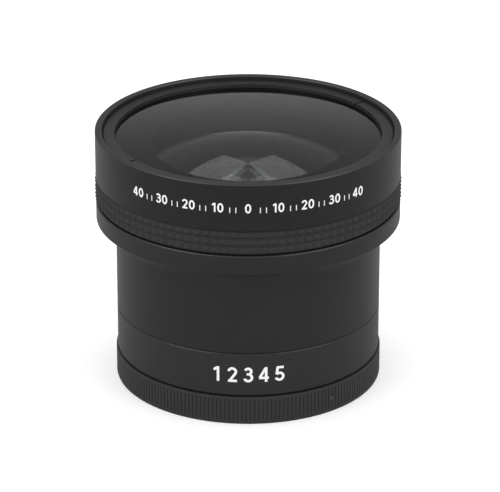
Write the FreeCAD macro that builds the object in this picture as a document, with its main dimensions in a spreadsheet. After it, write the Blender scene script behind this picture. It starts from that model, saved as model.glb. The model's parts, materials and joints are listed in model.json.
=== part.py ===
import FreeCAD, Part
import math
import os
import types

import Sketcher

# Wide-angle conversion lens, standing on its rear cap.
# The optical axis is +Z, the base of the cap is z = 0, and the front of the lens faces up.
# From the bottom up: rear cap, close-up (macro) ring, rear barrel, front barrel.
# Lengths are millimetres and angles are degrees.

SIZES = {
    # Rear cap
    "cap_height": 6.75,
    "cap_floor": 2.0,
    "cap_wall": 2.28,
    "cap_foot_width": 4.36,
    "cap_recess_depth": 0.5,
    "cap_foot_round": 0.2,
    "cap_gap": 0.3,
    "rib_count": 202,
    "rib_groove_width": 0.36,
    "rib_groove_depth": 0.3,
    "rib_foot": 0.9,
    "rib_top_margin": 0.8,
    # Screw threads, modelled as plain cylinders of their outer size
    "rear_thread_radius": 29.0,
    "rear_thread_length": 3.5,
    "front_thread_step": 4.75,
    "thread_clearance": 0.08,
    "thread_end_gap": 0.4,
    "thread_neck_depth": 0.5,
    "thread_neck_height": 0.6,
    "thread_lead_in": 0.25,
    # Close-up ring and its glass
    "shoulder_width": 2.0,
    "macro_tube_wall": 2.1,
    "macro_seat_height": 1.54,
    "macro_seat_width": 0.85,
    "macro_lens_edge": 1.5,
    "macro_lens_curve": 90.0,
    "macro_retainer_width": 1.5,
    "macro_retainer_height": 1.8,
    "macro_ledge": 1.36,
    # Rear barrel
    "rear_tube_wall": 2.4,
    "barrel_wall": 2.8,
    "cell_seat_height": 2.38,
    "cell_lip_thickness": 1.2,
    "cell_lip_width": 3.8,
    "cove_flat": 0.28,
    "flange_height": 4.45,
    "spigot_length": 5.5,
    # Front barrel
    "rim_wall": 1.83,
    "seat_web": 1.6,
    "spigot_end_gap": 0.2,
    "glass_shoulder": 1.1,
    "thread_foot_drop": 1.42,
    "rim_relief_width": 0.25,
    "rim_relief_depth": 0.5,
    "grip_groove_depth": 1.08,
    # Rubber grip
    "grip_height": 5.7,
    "grip_gap": 0.35,
    "grip_fit": 0.05,
    "grip_valley_depth": 0.38,
    "grip_ridge_height": 0.65,
    "grip_rows": 3,
    "grip_row_pitch": 1.88,
    "grip_columns": 104,
    "grip_crest_flat": 0.16,
    "grip_column_cut": 0.55,
    # Grub screws
    "grub_count": 3,
    "grub_radius": 1.0,
    "grub_hole_clearance": 0.05,
    "grub_height": 3.2,
    "grub_head_drop": 0.2,
    "grub_socket_radius": 0.52,
    "grub_socket_depth": 1.2,
    # Front glass, its seal and its retaining ring
    "front_glass_curve": 320.0,
    "front_glass_middle": 4.965,
    "front_glass_pilot": 0.3,
    "glass_neck_gap": 0.4,
    "front_glass_foot_land": 5.27,
    "dome_depth": 4.32,
    "seal_margin": 0.4,
    "seal_thickness": 0.8,
    "retainer_width": 2.72,
    "retainer_height": 0.9,
    "retainer_skirt_height": 1.2,
    "retainer_skirt_gap": 0.15,
    "retainer_flare": 0.1,
    "retainer_below_rim": 0.82,
    "retainer_slot_width": 0.6,
    "retainer_slot_depth": 0.6,
    "retainer_slot_angle": 35.0,
    # Lens cell and what it carries
    "cell_clearance": 0.1,
    "cell_wall": 2.55,
    "cell_web_drop": 2.8,
    "cell_web_thickness": 2.0,
    "cell_web_margin": 0.3,
    "tower_wall": 1.85,
    "glass_foot_gap": 8.705,
    "lock_ring_width": 6.7,
    "lock_ring_height": 2.5,
    "lock_ring_gap": 0.2,
    "stop_thickness": 0.4,
    "stop_hole_radius": 12.0,
    "spacer_height": 1.0,
    "spacer_width": 1.9,
    "second_glass_middle": 2.2,
    "second_front_curve": 45.0,
    "second_rear_depth": 9.1,
    "second_foot_land": 2.2,
    "second_retainer_width": 1.3,
    "second_retainer_height": 1.15,
    "doublet_seat_width": 0.9,
    "doublet_top_curve": 90.0,
    "doublet_joint_curve": 90.0,
    "doublet_front_edge": 1.0,
    "doublet_rear_edge": 5.4,
    "rear_retainer_width": 2.1,
    "rear_retainer_height": 1.8,
    # Light baffle
    "baffle_wall": 0.8,
    "baffle_tower_gap": 0.6,
    "baffle_gap": 0.3,
    "baffle_foot_width": 1.4,
    "baffle_side_gap": 0.2,
    # Common to several pieces
    "glass_clearance": 0.05,
    "edge_bevel": 0.25,
    "fine_bevel": 0.15,
    "ring_bevel": 0.1,
    "spanner_slot_width": 1.2,
    "spanner_slot_depth": 0.7,
    "cut_overrun": 1.0,
}


class Size:
    """A length known both as a number and as the sheet expression that gives it."""

    def __init__(self, number, words):
        self.number = number
        self.words = words

    def __add__(self, other):
        other = as_size(other)
        return Size(self.number + other.number, f"({self.words} + {other.words})")

    def __sub__(self, other):
        other = as_size(other)
        return Size(self.number - other.number, f"({self.words} - {other.words})")

    def __mul__(self, other):
        other = as_size(other)
        return Size(self.number * other.number, f"({self.words} * {other.words})")

    def __truediv__(self, other):
        other = as_size(other)
        return Size(self.number / other.number, f"({self.words} / {other.words})")


def as_size(value):
    """A plain number as a Size."""
    if isinstance(value, Size):
        return value
    return Size(float(value), str(value))


def root(size):
    """The square root of a Size."""
    return Size(math.sqrt(size.number), f"sqrt({size.words})")


def sag(curve, reach):
    """How far a spherical face of radius curve falls between its vertex and the radius reach."""
    return curve - root(curve * curve - reach * reach)


def rise(curve, outer, inner):
    """How much higher a domed face stands at the radius inner than at the radius outer."""
    return sag(curve, outer) - sag(curve, inner)


def curve_of(reach, depth):
    """The radius of the spherical face that is depth deep across an opening of radius reach."""
    return (reach * reach + depth * depth) / (depth * 2)


def fill_sheet(doc):
    """Writes the driving dimensions to the sheet and returns them as Sizes, one per alias."""
    sheet = doc.addObject("Spreadsheet::Sheet", "Sizes")
    for row, (alias, value) in enumerate(SIZES.items(), start=1):
        sheet.set(f"A{row}", alias)
        sheet.set(f"B{row}", str(value))
        sheet.setAlias(f"B{row}", alias)
    sizes = {alias: Size(value, f"Sizes.{alias}") for alias, value in SIZES.items()}
    return types.SimpleNamespace(**sizes)


def set_radii(dim):
    """Radii that follow from the two screw threads, the walls and the clearances."""
    rad = types.SimpleNamespace()
    rad.thread = dim.rear_thread_radius
    rad.thread_socket = rad.thread + dim.thread_clearance
    rad.cap = rad.thread_socket + dim.cap_wall
    rad.barrel = rad.thread + dim.shoulder_width
    rad.macro_tube = rad.thread - dim.macro_tube_wall
    rad.macro_bore = rad.macro_tube + dim.macro_seat_width
    rad.macro_lens = rad.macro_bore - dim.glass_clearance
    rad.cell_bore = rad.barrel - dim.barrel_wall
    rad.cell = rad.cell_bore - dim.cell_clearance
    rad.doublet_bore = rad.cell - dim.cell_wall
    rad.doublet = rad.doublet_bore - dim.glass_clearance
    rad.tower = rad.cell - dim.lock_ring_width
    rad.tower_bore = rad.tower - dim.tower_wall
    rad.second_glass = rad.tower_bore - dim.glass_clearance
    rad.second_opening = rad.second_glass - dim.second_foot_land
    rad.front_thread = rad.thread + dim.front_thread_step
    rad.rim = rad.front_thread + dim.rim_wall
    rad.front_bore = rad.front_thread - dim.glass_shoulder
    rad.front_glass = rad.front_bore - dim.glass_clearance
    rad.glass_neck = rad.cell_bore - dim.glass_neck_gap
    rad.dome = rad.glass_neck - dim.front_glass_foot_land
    rad.seat_bore = rad.cell_bore + dim.glass_neck_gap
    rad.retainer = rad.front_thread - dim.thread_clearance
    rad.retainer_inner = rad.retainer - dim.retainer_width
    rad.grip_seat = rad.rim - dim.grip_groove_depth
    rad.grip_valley = rad.rim - dim.grip_valley_depth
    rad.grip_crest = rad.grip_valley + dim.grip_ridge_height
    return rad


def set_curves(dim, rad):
    """Radii of the two hollow spherical faces."""
    return types.SimpleNamespace(
        dome=curve_of(rad.dome, dim.dome_depth),
        second_rear=curve_of(rad.second_opening, dim.second_rear_depth),
    )


def set_levels(dim, rad):
    """Heights above the base at which the pieces meet, each from the piece that carries it."""
    at = types.SimpleNamespace()
    at.macro_thread_tip = dim.cap_floor
    at.macro_base = dim.cap_height + dim.cap_gap
    at.macro_glass = at.macro_base + dim.macro_seat_height
    macro_inner = rad.macro_lens - dim.macro_retainer_width
    macro_rise = rise(dim.macro_lens_curve, rad.macro_lens, macro_inner)
    at.macro_retainer = at.macro_glass + dim.macro_lens_edge + macro_rise
    at.macro_socket = at.macro_retainer + dim.macro_retainer_height + dim.macro_ledge
    at.rear_thread_tip = at.macro_socket + dim.thread_end_gap
    at.macro_top = at.rear_thread_tip + dim.rear_thread_length
    at.cell_base = at.macro_top + dim.cell_seat_height
    at.doublet_base = at.cell_base + dim.rear_retainer_height
    at.doublet_joint = at.doublet_base + dim.doublet_rear_edge
    at.doublet_top = at.doublet_joint + dim.doublet_front_edge
    at.web_base = at.doublet_top + dim.cell_web_drop
    at.web_top = at.web_base + dim.cell_web_thickness
    at.spacer = at.web_top + dim.stop_thickness
    at.second_glass = at.spacer + dim.spacer_height
    at.second_vertex = at.second_glass + dim.second_rear_depth + dim.second_glass_middle
    second_inner = rad.second_glass - dim.second_retainer_width
    at.second_retainer = at.second_vertex - sag(dim.second_front_curve, second_inner)
    at.cell_top = at.second_retainer + dim.second_retainer_height
    at.glass_foot = at.cell_top + dim.glass_foot_gap
    at.glass_step = at.glass_foot + dim.front_glass_pilot
    at.glass_vertex = at.glass_foot + dim.dome_depth + dim.front_glass_middle
    at.glass_edge_top = at.glass_vertex - sag(dim.front_glass_curve, rad.front_glass)
    at.glass_seat = at.glass_step - dim.seal_thickness
    at.socket_top = at.glass_seat - dim.seat_web
    at.flange_top = at.socket_top - dim.spigot_end_gap - dim.spigot_length
    at.flange_base = at.flange_top - dim.flange_height
    at.retainer = at.glass_vertex - sag(dim.front_glass_curve, rad.retainer_inner)
    at.retainer_top = at.retainer + dim.retainer_height
    at.rim = at.retainer_top + dim.retainer_below_rim
    return at


def new_body(doc, label, level=None):
    """An empty body whose own origin stands at the given height on the optical axis."""
    body = doc.addObject("PartDesign::Body", label)
    body.Label = label
    if level is not None:
        body.setExpression("Placement.Base.z", level.words)
    return body


def new_sketch(body, role, name, height=None):
    """A sketch on one of the body's own origin planes, raised by height along its normal."""
    sketch = body.newObject("Sketcher::SketchObject", body.Label + name)
    plane = next(feature for feature in body.Origin.OriginFeatures if feature.Role == role)
    sketch.AttachmentSupport = [(plane, "")]
    sketch.MapMode = "FlatFace"
    if height is not None:
        sketch.setExpression("AttachmentOffset.Base.z", height.words)
    return sketch


def arc_between(start, end, radius, turn):
    """The short arc of the given radius from start to end, and whether it runs start to end.

    turn is 1 when the way from start to end bends left, and -1 when it bends right.
    """
    chord = end - start
    rise = math.sqrt(max(radius * radius - chord.Length * chord.Length / 4, 0.0))
    left = FreeCAD.Vector(-chord.y, chord.x, 0).normalize()
    centre = (start + end) / 2 + left * rise * turn
    first, last = (start, end) if turn > 0 else (end, start)
    angles = [math.atan2(point.y - centre.y, point.x - centre.x) for point in (first, last)]
    circle = Part.Circle(centre, FreeCAD.Vector(0, 0, 1), radius)
    return Part.ArcOfCircle(circle, angles[0], angles[1]), turn > 0


def draw_outline(sketch, corners):
    """Draws a closed outline whose every corner and arc radius is bound to the sheet.

    A corner is (across, up) when a straight line follows it, or (across, up, radius, turn)
    when an arc does. across None puts the corner on the axis.
    """
    zero = as_size(0)
    points = [FreeCAD.Vector((corner[0] or zero).number, corner[1].number, 0) for corner in corners]
    ends = []
    for index, corner in enumerate(corners):
        start = points[index]
        end = points[(index + 1) % len(points)]
        if len(corner) == 2:
            sketch.addGeometry(Part.LineSegment(start, end), False)
            ends.append((1, 2))
        else:
            arc, forward = arc_between(start, end, corner[2].number, corner[3])
            sketch.addGeometry(arc, False)
            ends.append((1, 2) if forward else (2, 1))
    for index, corner in enumerate(corners):
        following = (index + 1) % len(corners)
        sketch.addConstraint(
            Sketcher.Constraint("Coincident", index, ends[index][1], following, ends[following][0])
        )
        if corner[0] is None:
            sketch.addConstraint(Sketcher.Constraint("PointOnObject", index, ends[index][0], -2))
        else:
            bind(sketch, ("DistanceX", -1, 1, index, ends[index][0]), corner[0])
        bind(sketch, ("DistanceY", -1, 1, index, ends[index][0]), corner[1])
        if len(corner) > 2:
            bind(sketch, ("Radius", index), corner[2])


def bind(sketch, constraint, size):
    """Adds a driving constraint and binds its value to the size's sheet expression."""
    place = sketch.addConstraint(Sketcher.Constraint(*constraint, size.number))
    sketch.setExpression(f"Constraints[{place}]", size.words)


def turn(body, corners):
    """Revolves an outline in the XZ plane about the optical axis."""
    sketch = new_sketch(body, "XZ_Plane", "Outline")
    draw_outline(sketch, corners)
    turned = body.newObject("PartDesign::Revolution", body.Label + "Turned")
    turned.Profile = (sketch, [""])
    turned.ReferenceAxis = (sketch, ["V_Axis"])
    turned.Angle = 360
    body.Tip = turned
    return turned


def turned_piece(doc, label, level, corners):
    """A body that is one turned solid."""
    body = new_body(doc, label, level)
    turn(body, corners)
    return body


def draw_circle(sketch, across, up, radius):
    """A circle bound to the sheet."""
    centre = FreeCAD.Vector(across.number, up.number, 0)
    sketch.addGeometry(Part.Circle(centre, FreeCAD.Vector(0, 0, 1), radius.number), False)
    bind(sketch, ("DistanceX", -1, 1, 0, 3), across)
    bind(sketch, ("DistanceY", -1, 1, 0, 3), up)
    bind(sketch, ("Radius", 0), radius)


def cut_upwards(body, name, corners, height, depth):
    """Cuts an outline drawn at the given height, from there up through depth."""
    sketch = new_sketch(body, "XY_Plane", name + "Sketch", height)
    draw_outline(sketch, corners)
    cut = body.newObject("PartDesign::Pocket", body.Label + name)
    cut.Profile = (sketch, [""])
    cut.Reversed = True
    cut.setExpression("Length", depth.words)
    body.Tip = cut
    return cut


def repeat_round(body, name, features, count):
    """Repeats features evenly round the body's own Z axis."""
    axis = next(item for item in body.Origin.OriginFeatures if item.Role == "Z_Axis")
    pattern = body.newObject("PartDesign::PolarPattern", body.Label + name)
    pattern.Originals = features
    pattern.Axis = (axis, [""])
    pattern.Angle = 360
    pattern.setExpression("Occurrences", count.words)
    body.Tip = pattern


def hexagon(across, up, radius):
    """The corners of a hexagon with two level sides."""
    half = radius / 2
    rise_of_side = radius * root(as_size(3)) / 2
    return [
        (across + radius, up),
        (across + half, up + rise_of_side),
        (across - half, up + rise_of_side),
        (across - radius, up),
        (across - half, up - rise_of_side),
        (across + half, up - rise_of_side),
    ]


def rectangle(low_across, high_across, half_width):
    """The corners of a rectangle that lies evenly about the sketch's first axis."""
    below = as_size(0) - half_width
    return [(low_across, below), (high_across, below), (high_across, half_width), (low_across, half_width)]


def cut_spanner_slots(dim, body, outer_radius, width, height, depth):
    """Two opposite slots for a pin spanner, cut in one pass right across the ring."""
    reach = outer_radius + dim.cut_overrun
    slot = rectangle(as_size(0) - reach, reach, width / 2)
    cut_upwards(body, "Slots", slot, height, depth)


def cut_top_slots(dim, body, outer_radius, ring_height):
    """The common spanner slots, in the top face of a ring."""
    floor = ring_height - dim.spanner_slot_depth
    depth = dim.spanner_slot_depth + dim.cut_overrun
    cut_spanner_slots(dim, body, outer_radius, dim.spanner_slot_width, floor, depth)


def make_rear_cap(doc, dim, rad, at):
    """Moulded cap: shallow recess below, female thread inside, fine ribs outside."""
    recess = rad.cap - dim.cap_foot_width
    top = dim.cap_height
    body = new_body(doc, "rear_cap")
    turn(body, [
        (None, dim.cap_recess_depth),
        (recess, dim.cap_recess_depth),
        (recess, as_size(0)),
        (rad.cap - dim.cap_foot_round, as_size(0), dim.cap_foot_round, 1),
        (rad.cap, dim.cap_foot_round),
        (rad.cap, top - dim.edge_bevel),
        (rad.cap - dim.edge_bevel, top),
        (rad.thread_socket + dim.thread_lead_in, top),
        (rad.thread_socket, top - dim.thread_lead_in),
        (rad.thread_socket, dim.cap_floor),
        (None, dim.cap_floor),
    ])
    groove_floor = rad.cap - dim.rib_groove_depth
    groove = rectangle(groove_floor, rad.cap + dim.cut_overrun, dim.rib_groove_width / 2)
    rib_length = top - dim.rib_top_margin - dim.rib_foot
    cut = cut_upwards(body, "RibGroove", groove, dim.rib_foot, rib_length)
    repeat_round(body, "Ribs", [cut], dim.rib_count)
    return body


def male_thread(dim, rad, shoulder):
    """Corners of a male rear thread, from its tip at height 0 up to the shoulder above it."""
    neck = rad.thread - dim.thread_neck_depth
    return [
        (rad.thread - dim.edge_bevel, as_size(0)),
        (rad.thread, dim.edge_bevel),
        (rad.thread, shoulder - dim.thread_neck_height),
        (neck, shoulder - dim.thread_neck_height),
        (neck, shoulder),
        (rad.barrel - dim.edge_bevel, shoulder),
        (rad.barrel, shoulder + dim.edge_bevel),
    ]


def make_macro_ring(doc, dim, rad, at):
    """Ring of the close-up lens: male thread below, glass seat, female thread above."""
    foot = at.macro_thread_tip
    shoulder = at.macro_base - foot
    top = at.macro_top - foot
    return turned_piece(doc, "macro_ring", foot, [
        (rad.macro_tube, as_size(0)),
        *male_thread(dim, rad, shoulder),
        (rad.barrel, top - dim.edge_bevel),
        (rad.barrel - dim.edge_bevel, top),
        (rad.thread_socket + dim.thread_lead_in, top),
        (rad.thread_socket, top - dim.thread_lead_in),
        (rad.thread_socket, at.macro_socket - foot),
        (rad.macro_bore, at.macro_socket - foot),
        (rad.macro_bore, at.macro_glass - foot),
        (rad.macro_tube, at.macro_glass - foot),
    ])


def make_macro_lens(doc, dim, rad, at):
    """Plano-convex close-up glass, flat side down on its seat."""
    radius = rad.macro_lens
    bevel = dim.fine_bevel
    return turned_piece(doc, "macro_lens", at.macro_glass, [
        (None, as_size(0)),
        (radius - bevel, as_size(0)),
        (radius, bevel),
        (radius, dim.macro_lens_edge, dim.macro_lens_curve, 1),
        (None, dim.macro_lens_edge + sag(dim.macro_lens_curve, radius)),
    ])


def plain_ring(doc, dim, label, level, inner, outer, height):
    """A turned ring of rectangular section with its four edges broken."""
    bevel = dim.ring_bevel
    return turned_piece(doc, label, level, [
        (inner, bevel),
        (inner + bevel, as_size(0)),
        (outer - bevel, as_size(0)),
        (outer, bevel),
        (outer, height - bevel),
        (outer - bevel, height),
        (inner + bevel, height),
        (inner, height - bevel),
    ])


def make_macro_retaining_ring(doc, dim, rad, at):
    """Slotted ring that rests on the close-up glass where its inner edge meets the curve."""
    outer = rad.macro_lens
    inner = outer - dim.macro_retainer_width
    height = dim.macro_retainer_height
    body = plain_ring(doc, dim, "macro_retaining_ring", at.macro_retainer, inner, outer, height)
    cut_top_slots(dim, body, outer, height)
    return body


def make_rear_barrel(doc, dim, rad, at):
    """Rear barrel: male thread, cell seat, coved flange and the spigot for the front barrel."""
    foot = at.rear_thread_tip
    inside = rad.thread - dim.rear_tube_wall
    lip = rad.cell_bore - dim.cell_lip_width
    flange = at.flange_base - foot
    flange_top = at.flange_top - foot
    top = flange_top + dim.spigot_length
    seat = at.cell_base - foot
    cove = rad.rim - dim.cove_flat - rad.barrel
    return turned_piece(doc, "rear_barrel", foot, [
        (inside, as_size(0)),
        *male_thread(dim, rad, dim.rear_thread_length),
        (rad.barrel, flange - cove, cove, -1),
        (rad.barrel + cove, flange),
        (rad.rim - dim.fine_bevel, flange),
        (rad.rim, flange + dim.fine_bevel),
        (rad.rim, flange_top - dim.edge_bevel),
        (rad.rim - dim.edge_bevel, flange_top),
        (rad.barrel, flange_top),
        (rad.barrel, top - dim.edge_bevel),
        (rad.barrel - dim.edge_bevel, top),
        (rad.cell_bore, top),
        (rad.cell_bore, seat),
        (lip, seat),
        (lip, seat - dim.cell_lip_thickness),
        (inside, seat - dim.cell_lip_thickness),
    ])


def make_front_barrel(doc, dim, rad, at):
    """Front barrel: socket for the spigot, grip groove, glass seat, front thread and its relief."""
    foot = at.flange_top
    socket = rad.barrel + dim.thread_clearance
    groove_top = dim.grip_gap + dim.grip_height + dim.grip_fit
    top = at.rim - foot
    thread_foot = at.glass_edge_top - dim.thread_foot_drop - foot
    relief = rad.front_thread + dim.rim_relief_width
    relief_foot = at.retainer_top - dim.rim_relief_depth - foot
    body = turned_piece(doc, "front_barrel", foot, [
        (socket, as_size(0)),
        (rad.grip_seat, as_size(0)),
        (rad.grip_seat, groove_top),
        (rad.rim - dim.fine_bevel, groove_top),
        (rad.rim, groove_top + dim.fine_bevel),
        (rad.rim, top - dim.edge_bevel),
        (rad.rim - dim.edge_bevel, top),
        (relief, top),
        (relief, relief_foot),
        (rad.front_thread, relief_foot),
        (rad.front_thread, thread_foot),
        (rad.front_bore, thread_foot),
        (rad.front_bore, at.glass_seat - foot),
        (rad.seat_bore, at.glass_seat - foot),
        (rad.seat_bore, at.socket_top - foot),
        (socket, at.socket_top - foot),
    ])
    sketch = new_sketch(body, "YZ_Plane", "GrubHoleSketch", rad.barrel)
    draw_circle(sketch, as_size(0), dim.grub_height, dim.grub_radius + dim.grub_hole_clearance)
    hole = body.newObject("PartDesign::Pocket", "GrubHole")
    hole.Profile = (sketch, [""])
    hole.Reversed = True
    hole.setExpression("Length", (rad.grip_seat - rad.barrel + dim.cut_overrun).words)
    repeat_round(body, "GrubHoles", [hole], dim.grub_count)
    return body


def make_grip_ring(doc, dim, rad, at):
    """Rubber ring with rows of pyramids: turned ridges crossed by upright V grooves."""
    valley = rad.grip_valley
    crest = rad.grip_crest
    inner = rad.grip_seat + dim.grip_fit
    half_flat = dim.grip_crest_flat / 2
    half_pitch = dim.grip_row_pitch / 2
    corners = [(inner, as_size(0)), (valley, as_size(0))]
    first = dim.grip_height - dim.grip_row_pitch * dim.grip_rows
    for row in range(SIZES["grip_rows"]):
        foot = first + dim.grip_row_pitch * row
        corners.append((valley, foot))
        corners.append((crest, foot + half_pitch - half_flat))
        corners.append((crest, foot + half_pitch + half_flat))
    corners.append((valley, dim.grip_height))
    corners.append((inner, dim.grip_height))
    body = turned_piece(doc, "grip_ring", at.flange_top + dim.grip_gap, corners)
    apex = crest - dim.grip_column_cut
    opening = crest + dim.fine_bevel
    column_pitch = crest * (2 * math.pi) / dim.grip_columns
    slope = (column_pitch - dim.grip_crest_flat) / 2 / dim.grip_column_cut
    half_open = slope * (opening - apex)
    groove = [(apex, as_size(0)), (opening, as_size(0) - half_open), (opening, half_open)]
    overrun = dim.cut_overrun
    cut = cut_upwards(body, "Groove", groove, as_size(0) - overrun, dim.grip_height + overrun * 2)
    repeat_round(body, "Columns", [cut], dim.grip_columns)
    return body


def make_grub_screws(doc, dim, rad, at):
    """Set screws through the front barrel that bear on the spigot, each with a hexagon socket."""
    body = new_body(doc, "grub_screws", at.flange_top)
    body.AllowCompound = True
    tip = rad.barrel + dim.thread_clearance
    head = rad.grip_seat - dim.grub_head_drop
    sketch = new_sketch(body, "YZ_Plane", "Section", tip)
    draw_circle(sketch, as_size(0), dim.grub_height, dim.grub_radius)
    shank = body.newObject("PartDesign::Pad", "GrubShank")
    shank.Profile = (sketch, [""])
    shank.setExpression("Length", (head - tip).words)
    hollow = new_sketch(body, "YZ_Plane", "SocketSection", head)
    draw_outline(hollow, hexagon(as_size(0), dim.grub_height, dim.grub_socket_radius))
    socket = body.newObject("PartDesign::Pocket", "GrubSocket")
    socket.Profile = (hollow, [""])
    socket.setExpression("Length", dim.grub_socket_depth.words)
    repeat_round(body, "Copies", [shank, socket], dim.grub_count)
    return body


def make_front_element(doc, dim, rad, at):
    """Front glass: shallow front curve, hollow dome behind, and a step that sits on the seal."""
    foot = at.glass_foot
    outer = rad.front_glass
    step = at.glass_step - foot
    return turned_piece(doc, "front_element", foot, [
        (rad.dome, as_size(0)),
        (rad.glass_neck - dim.ring_bevel, as_size(0)),
        (rad.glass_neck, dim.ring_bevel),
        (rad.glass_neck, step),
        (outer - dim.fine_bevel, step),
        (outer, step + dim.fine_bevel),
        (outer, at.glass_edge_top - foot, dim.front_glass_curve, 1),
        (None, at.glass_vertex - foot),
        (None, dim.dome_depth, set_curves(dim, rad).dome, -1),
    ])


def make_front_seal(doc, dim, rad, at):
    """Rubber ring between the glass step and its seat."""
    inner = rad.seat_bore + dim.seal_margin
    outer = rad.front_glass - dim.seal_margin
    return plain_ring(doc, dim, "front_seal", at.glass_seat, inner, outer, dim.seal_thickness)


def make_front_retaining_ring(doc, dim, rad, at):
    """Ring in the front thread: a lip on the glass, a skirt round it and two spanner slots."""
    inner = rad.retainer_inner
    outer = rad.retainer
    skirt = dim.retainer_skirt_height
    skirt_inner = rad.front_glass + dim.retainer_skirt_gap
    height = skirt + dim.retainer_height
    body = turned_piece(doc, "front_retaining_ring", at.retainer - skirt, [
        (inner, skirt),
        (skirt_inner, skirt),
        (skirt_inner, as_size(0)),
        (outer, as_size(0)),
        (outer, height - dim.fine_bevel),
        (outer - dim.fine_bevel, height),
        (inner + dim.retainer_flare, height),
    ])
    floor = height - dim.retainer_slot_depth
    depth = dim.retainer_slot_depth + dim.cut_overrun
    cut_spanner_slots(dim, body, outer, dim.retainer_slot_width, floor, depth)
    body.setExpression("Placement.Rotation.Angle", dim.retainer_slot_angle.words)
    return body


def make_lens_cell(doc, dim, rad, at):
    """Turned cell: wide bore below for the doublet, a web, and a tower for the second glass."""
    foot = at.cell_base
    shoulder = rad.doublet_bore - dim.doublet_seat_width
    seat = at.doublet_top + rise(dim.doublet_top_curve, rad.doublet, shoulder) - foot
    web = at.web_base - foot
    web_top = at.web_top - foot
    web_hole = rad.second_opening - dim.cell_web_margin
    top = at.cell_top - foot
    return turned_piece(doc, "lens_cell", foot, [
        (rad.doublet_bore, as_size(0)),
        (rad.cell, as_size(0)),
        (rad.cell, web_top),
        (rad.tower, web_top),
        (rad.tower, top - dim.edge_bevel),
        (rad.tower - dim.edge_bevel, top),
        (rad.tower_bore, top),
        (rad.tower_bore, web_top),
        (web_hole, web_top),
        (web_hole, web),
        (shoulder, web),
        (shoulder, seat),
        (rad.doublet_bore, seat),
    ])


def make_cell_lock_ring(doc, dim, rad, at):
    """Threaded ring that clamps the lens cell down on its seat."""
    outer = rad.cell_bore - dim.thread_clearance
    inner = rad.tower + dim.lock_ring_gap
    height = dim.lock_ring_height
    body = plain_ring(doc, dim, "cell_lock_ring", at.web_top, inner, outer, height)
    cut_top_slots(dim, body, outer, height)
    return body


def make_aperture_stop(doc, dim, rad, at):
    """Thin disc with the light stop hole, on the web."""
    return turned_piece(doc, "aperture_stop", at.web_top, [
        (dim.stop_hole_radius, as_size(0)),
        (rad.second_glass, as_size(0)),
        (rad.second_glass, dim.stop_thickness),
        (dim.stop_hole_radius + dim.stop_thickness, dim.stop_thickness),
    ])


def make_spacer_ring(doc, dim, rad, at):
    """Spacer that sets the second glass above the stop."""
    outer = rad.second_glass
    inner = outer - dim.spacer_width
    return plain_ring(doc, dim, "spacer_ring", at.spacer, inner, outer, dim.spacer_height)


def make_second_element(doc, dim, rad, at):
    """Second glass: a negative meniscus that bulges up towards the front glass."""
    outer = rad.second_glass
    vertex = at.second_vertex - at.second_glass
    return turned_piece(doc, "second_element", at.second_glass, [
        (rad.second_opening, as_size(0)),
        (outer, as_size(0)),
        (outer, vertex - sag(dim.second_front_curve, outer), dim.second_front_curve, 1),
        (None, vertex),
        (None, dim.second_rear_depth, set_curves(dim, rad).second_rear, -1),
    ])


def make_second_retaining_ring(doc, dim, rad, at):
    """Ring in the top of the tower, resting on the second glass and flush with the tower."""
    outer = rad.second_glass
    inner = outer - dim.second_retainer_width
    height = dim.second_retainer_height
    body = plain_ring(doc, dim, "second_retaining_ring", at.second_retainer, inner, outer, height)
    cut_top_slots(dim, body, outer, height)
    return body


def make_doublet_front(doc, dim, rad, at):
    """Upper glass of the rear doublet, convex on both sides."""
    outer = rad.doublet
    drop = sag(dim.doublet_joint_curve, outer)
    edge_top = drop + dim.doublet_front_edge
    return turned_piece(doc, "doublet_front", at.doublet_joint - drop, [
        (None, as_size(0), dim.doublet_joint_curve, 1),
        (outer, drop),
        (outer, edge_top, dim.doublet_top_curve, 1),
        (None, edge_top + sag(dim.doublet_top_curve, outer)),
    ])


def make_doublet_rear(doc, dim, rad, at):
    """Lower glass of the rear doublet: dished to take the upper one, flat below."""
    outer = rad.doublet
    bevel = dim.fine_bevel
    edge = dim.doublet_rear_edge
    return turned_piece(doc, "doublet_rear", at.doublet_base, [
        (None, as_size(0)),
        (outer - bevel, as_size(0)),
        (outer, bevel),
        (outer, edge, dim.doublet_joint_curve, -1),
        (None, edge - sag(dim.doublet_joint_curve, outer)),
    ])


def make_rear_retaining_ring(doc, dim, rad, at):
    """Ring that holds the doublet up in the cell, slotted below."""
    outer = rad.doublet
    inner = outer - dim.rear_retainer_width
    height = dim.rear_retainer_height
    depth = dim.spanner_slot_depth
    body = plain_ring(doc, dim, "rear_retaining_ring", at.cell_base, inner, outer, height)
    cut_spanner_slots(dim, body, outer, dim.spanner_slot_width, as_size(0) - depth, depth * 2)
    return body


def make_light_baffle(doc, dim, rad, at):
    """Blackened cone from the lock ring up to just under the front glass."""
    base = at.web_top + dim.lock_ring_height
    outer = rad.cell_bore - dim.baffle_side_gap
    inner = outer - dim.baffle_foot_width
    wall = dim.baffle_wall
    height = at.glass_foot - dim.baffle_gap - base
    top = rad.tower + dim.baffle_tower_gap
    return turned_piece(doc, "light_baffle", base, [
        (inner, as_size(0)),
        (outer, as_size(0)),
        (outer, wall),
        (top + wall, height),
        (top, height),
        (inner, wall),
    ])


MAKERS = (
    make_rear_cap,
    make_macro_ring,
    make_macro_lens,
    make_macro_retaining_ring,
    make_rear_barrel,
    make_front_barrel,
    make_grip_ring,
    make_grub_screws,
    make_front_element,
    make_front_seal,
    make_front_retaining_ring,
    make_lens_cell,
    make_cell_lock_ring,
    make_aperture_stop,
    make_spacer_ring,
    make_second_element,
    make_second_retaining_ring,
    make_doublet_front,
    make_doublet_rear,
    make_rear_retaining_ring,
    make_light_baffle,
)


def failed_objects(doc):
    """Names of the document's objects that did not compute."""
    return [item.Name for item in doc.Objects if "Invalid" in item.State or "Error" in item.State]


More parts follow.
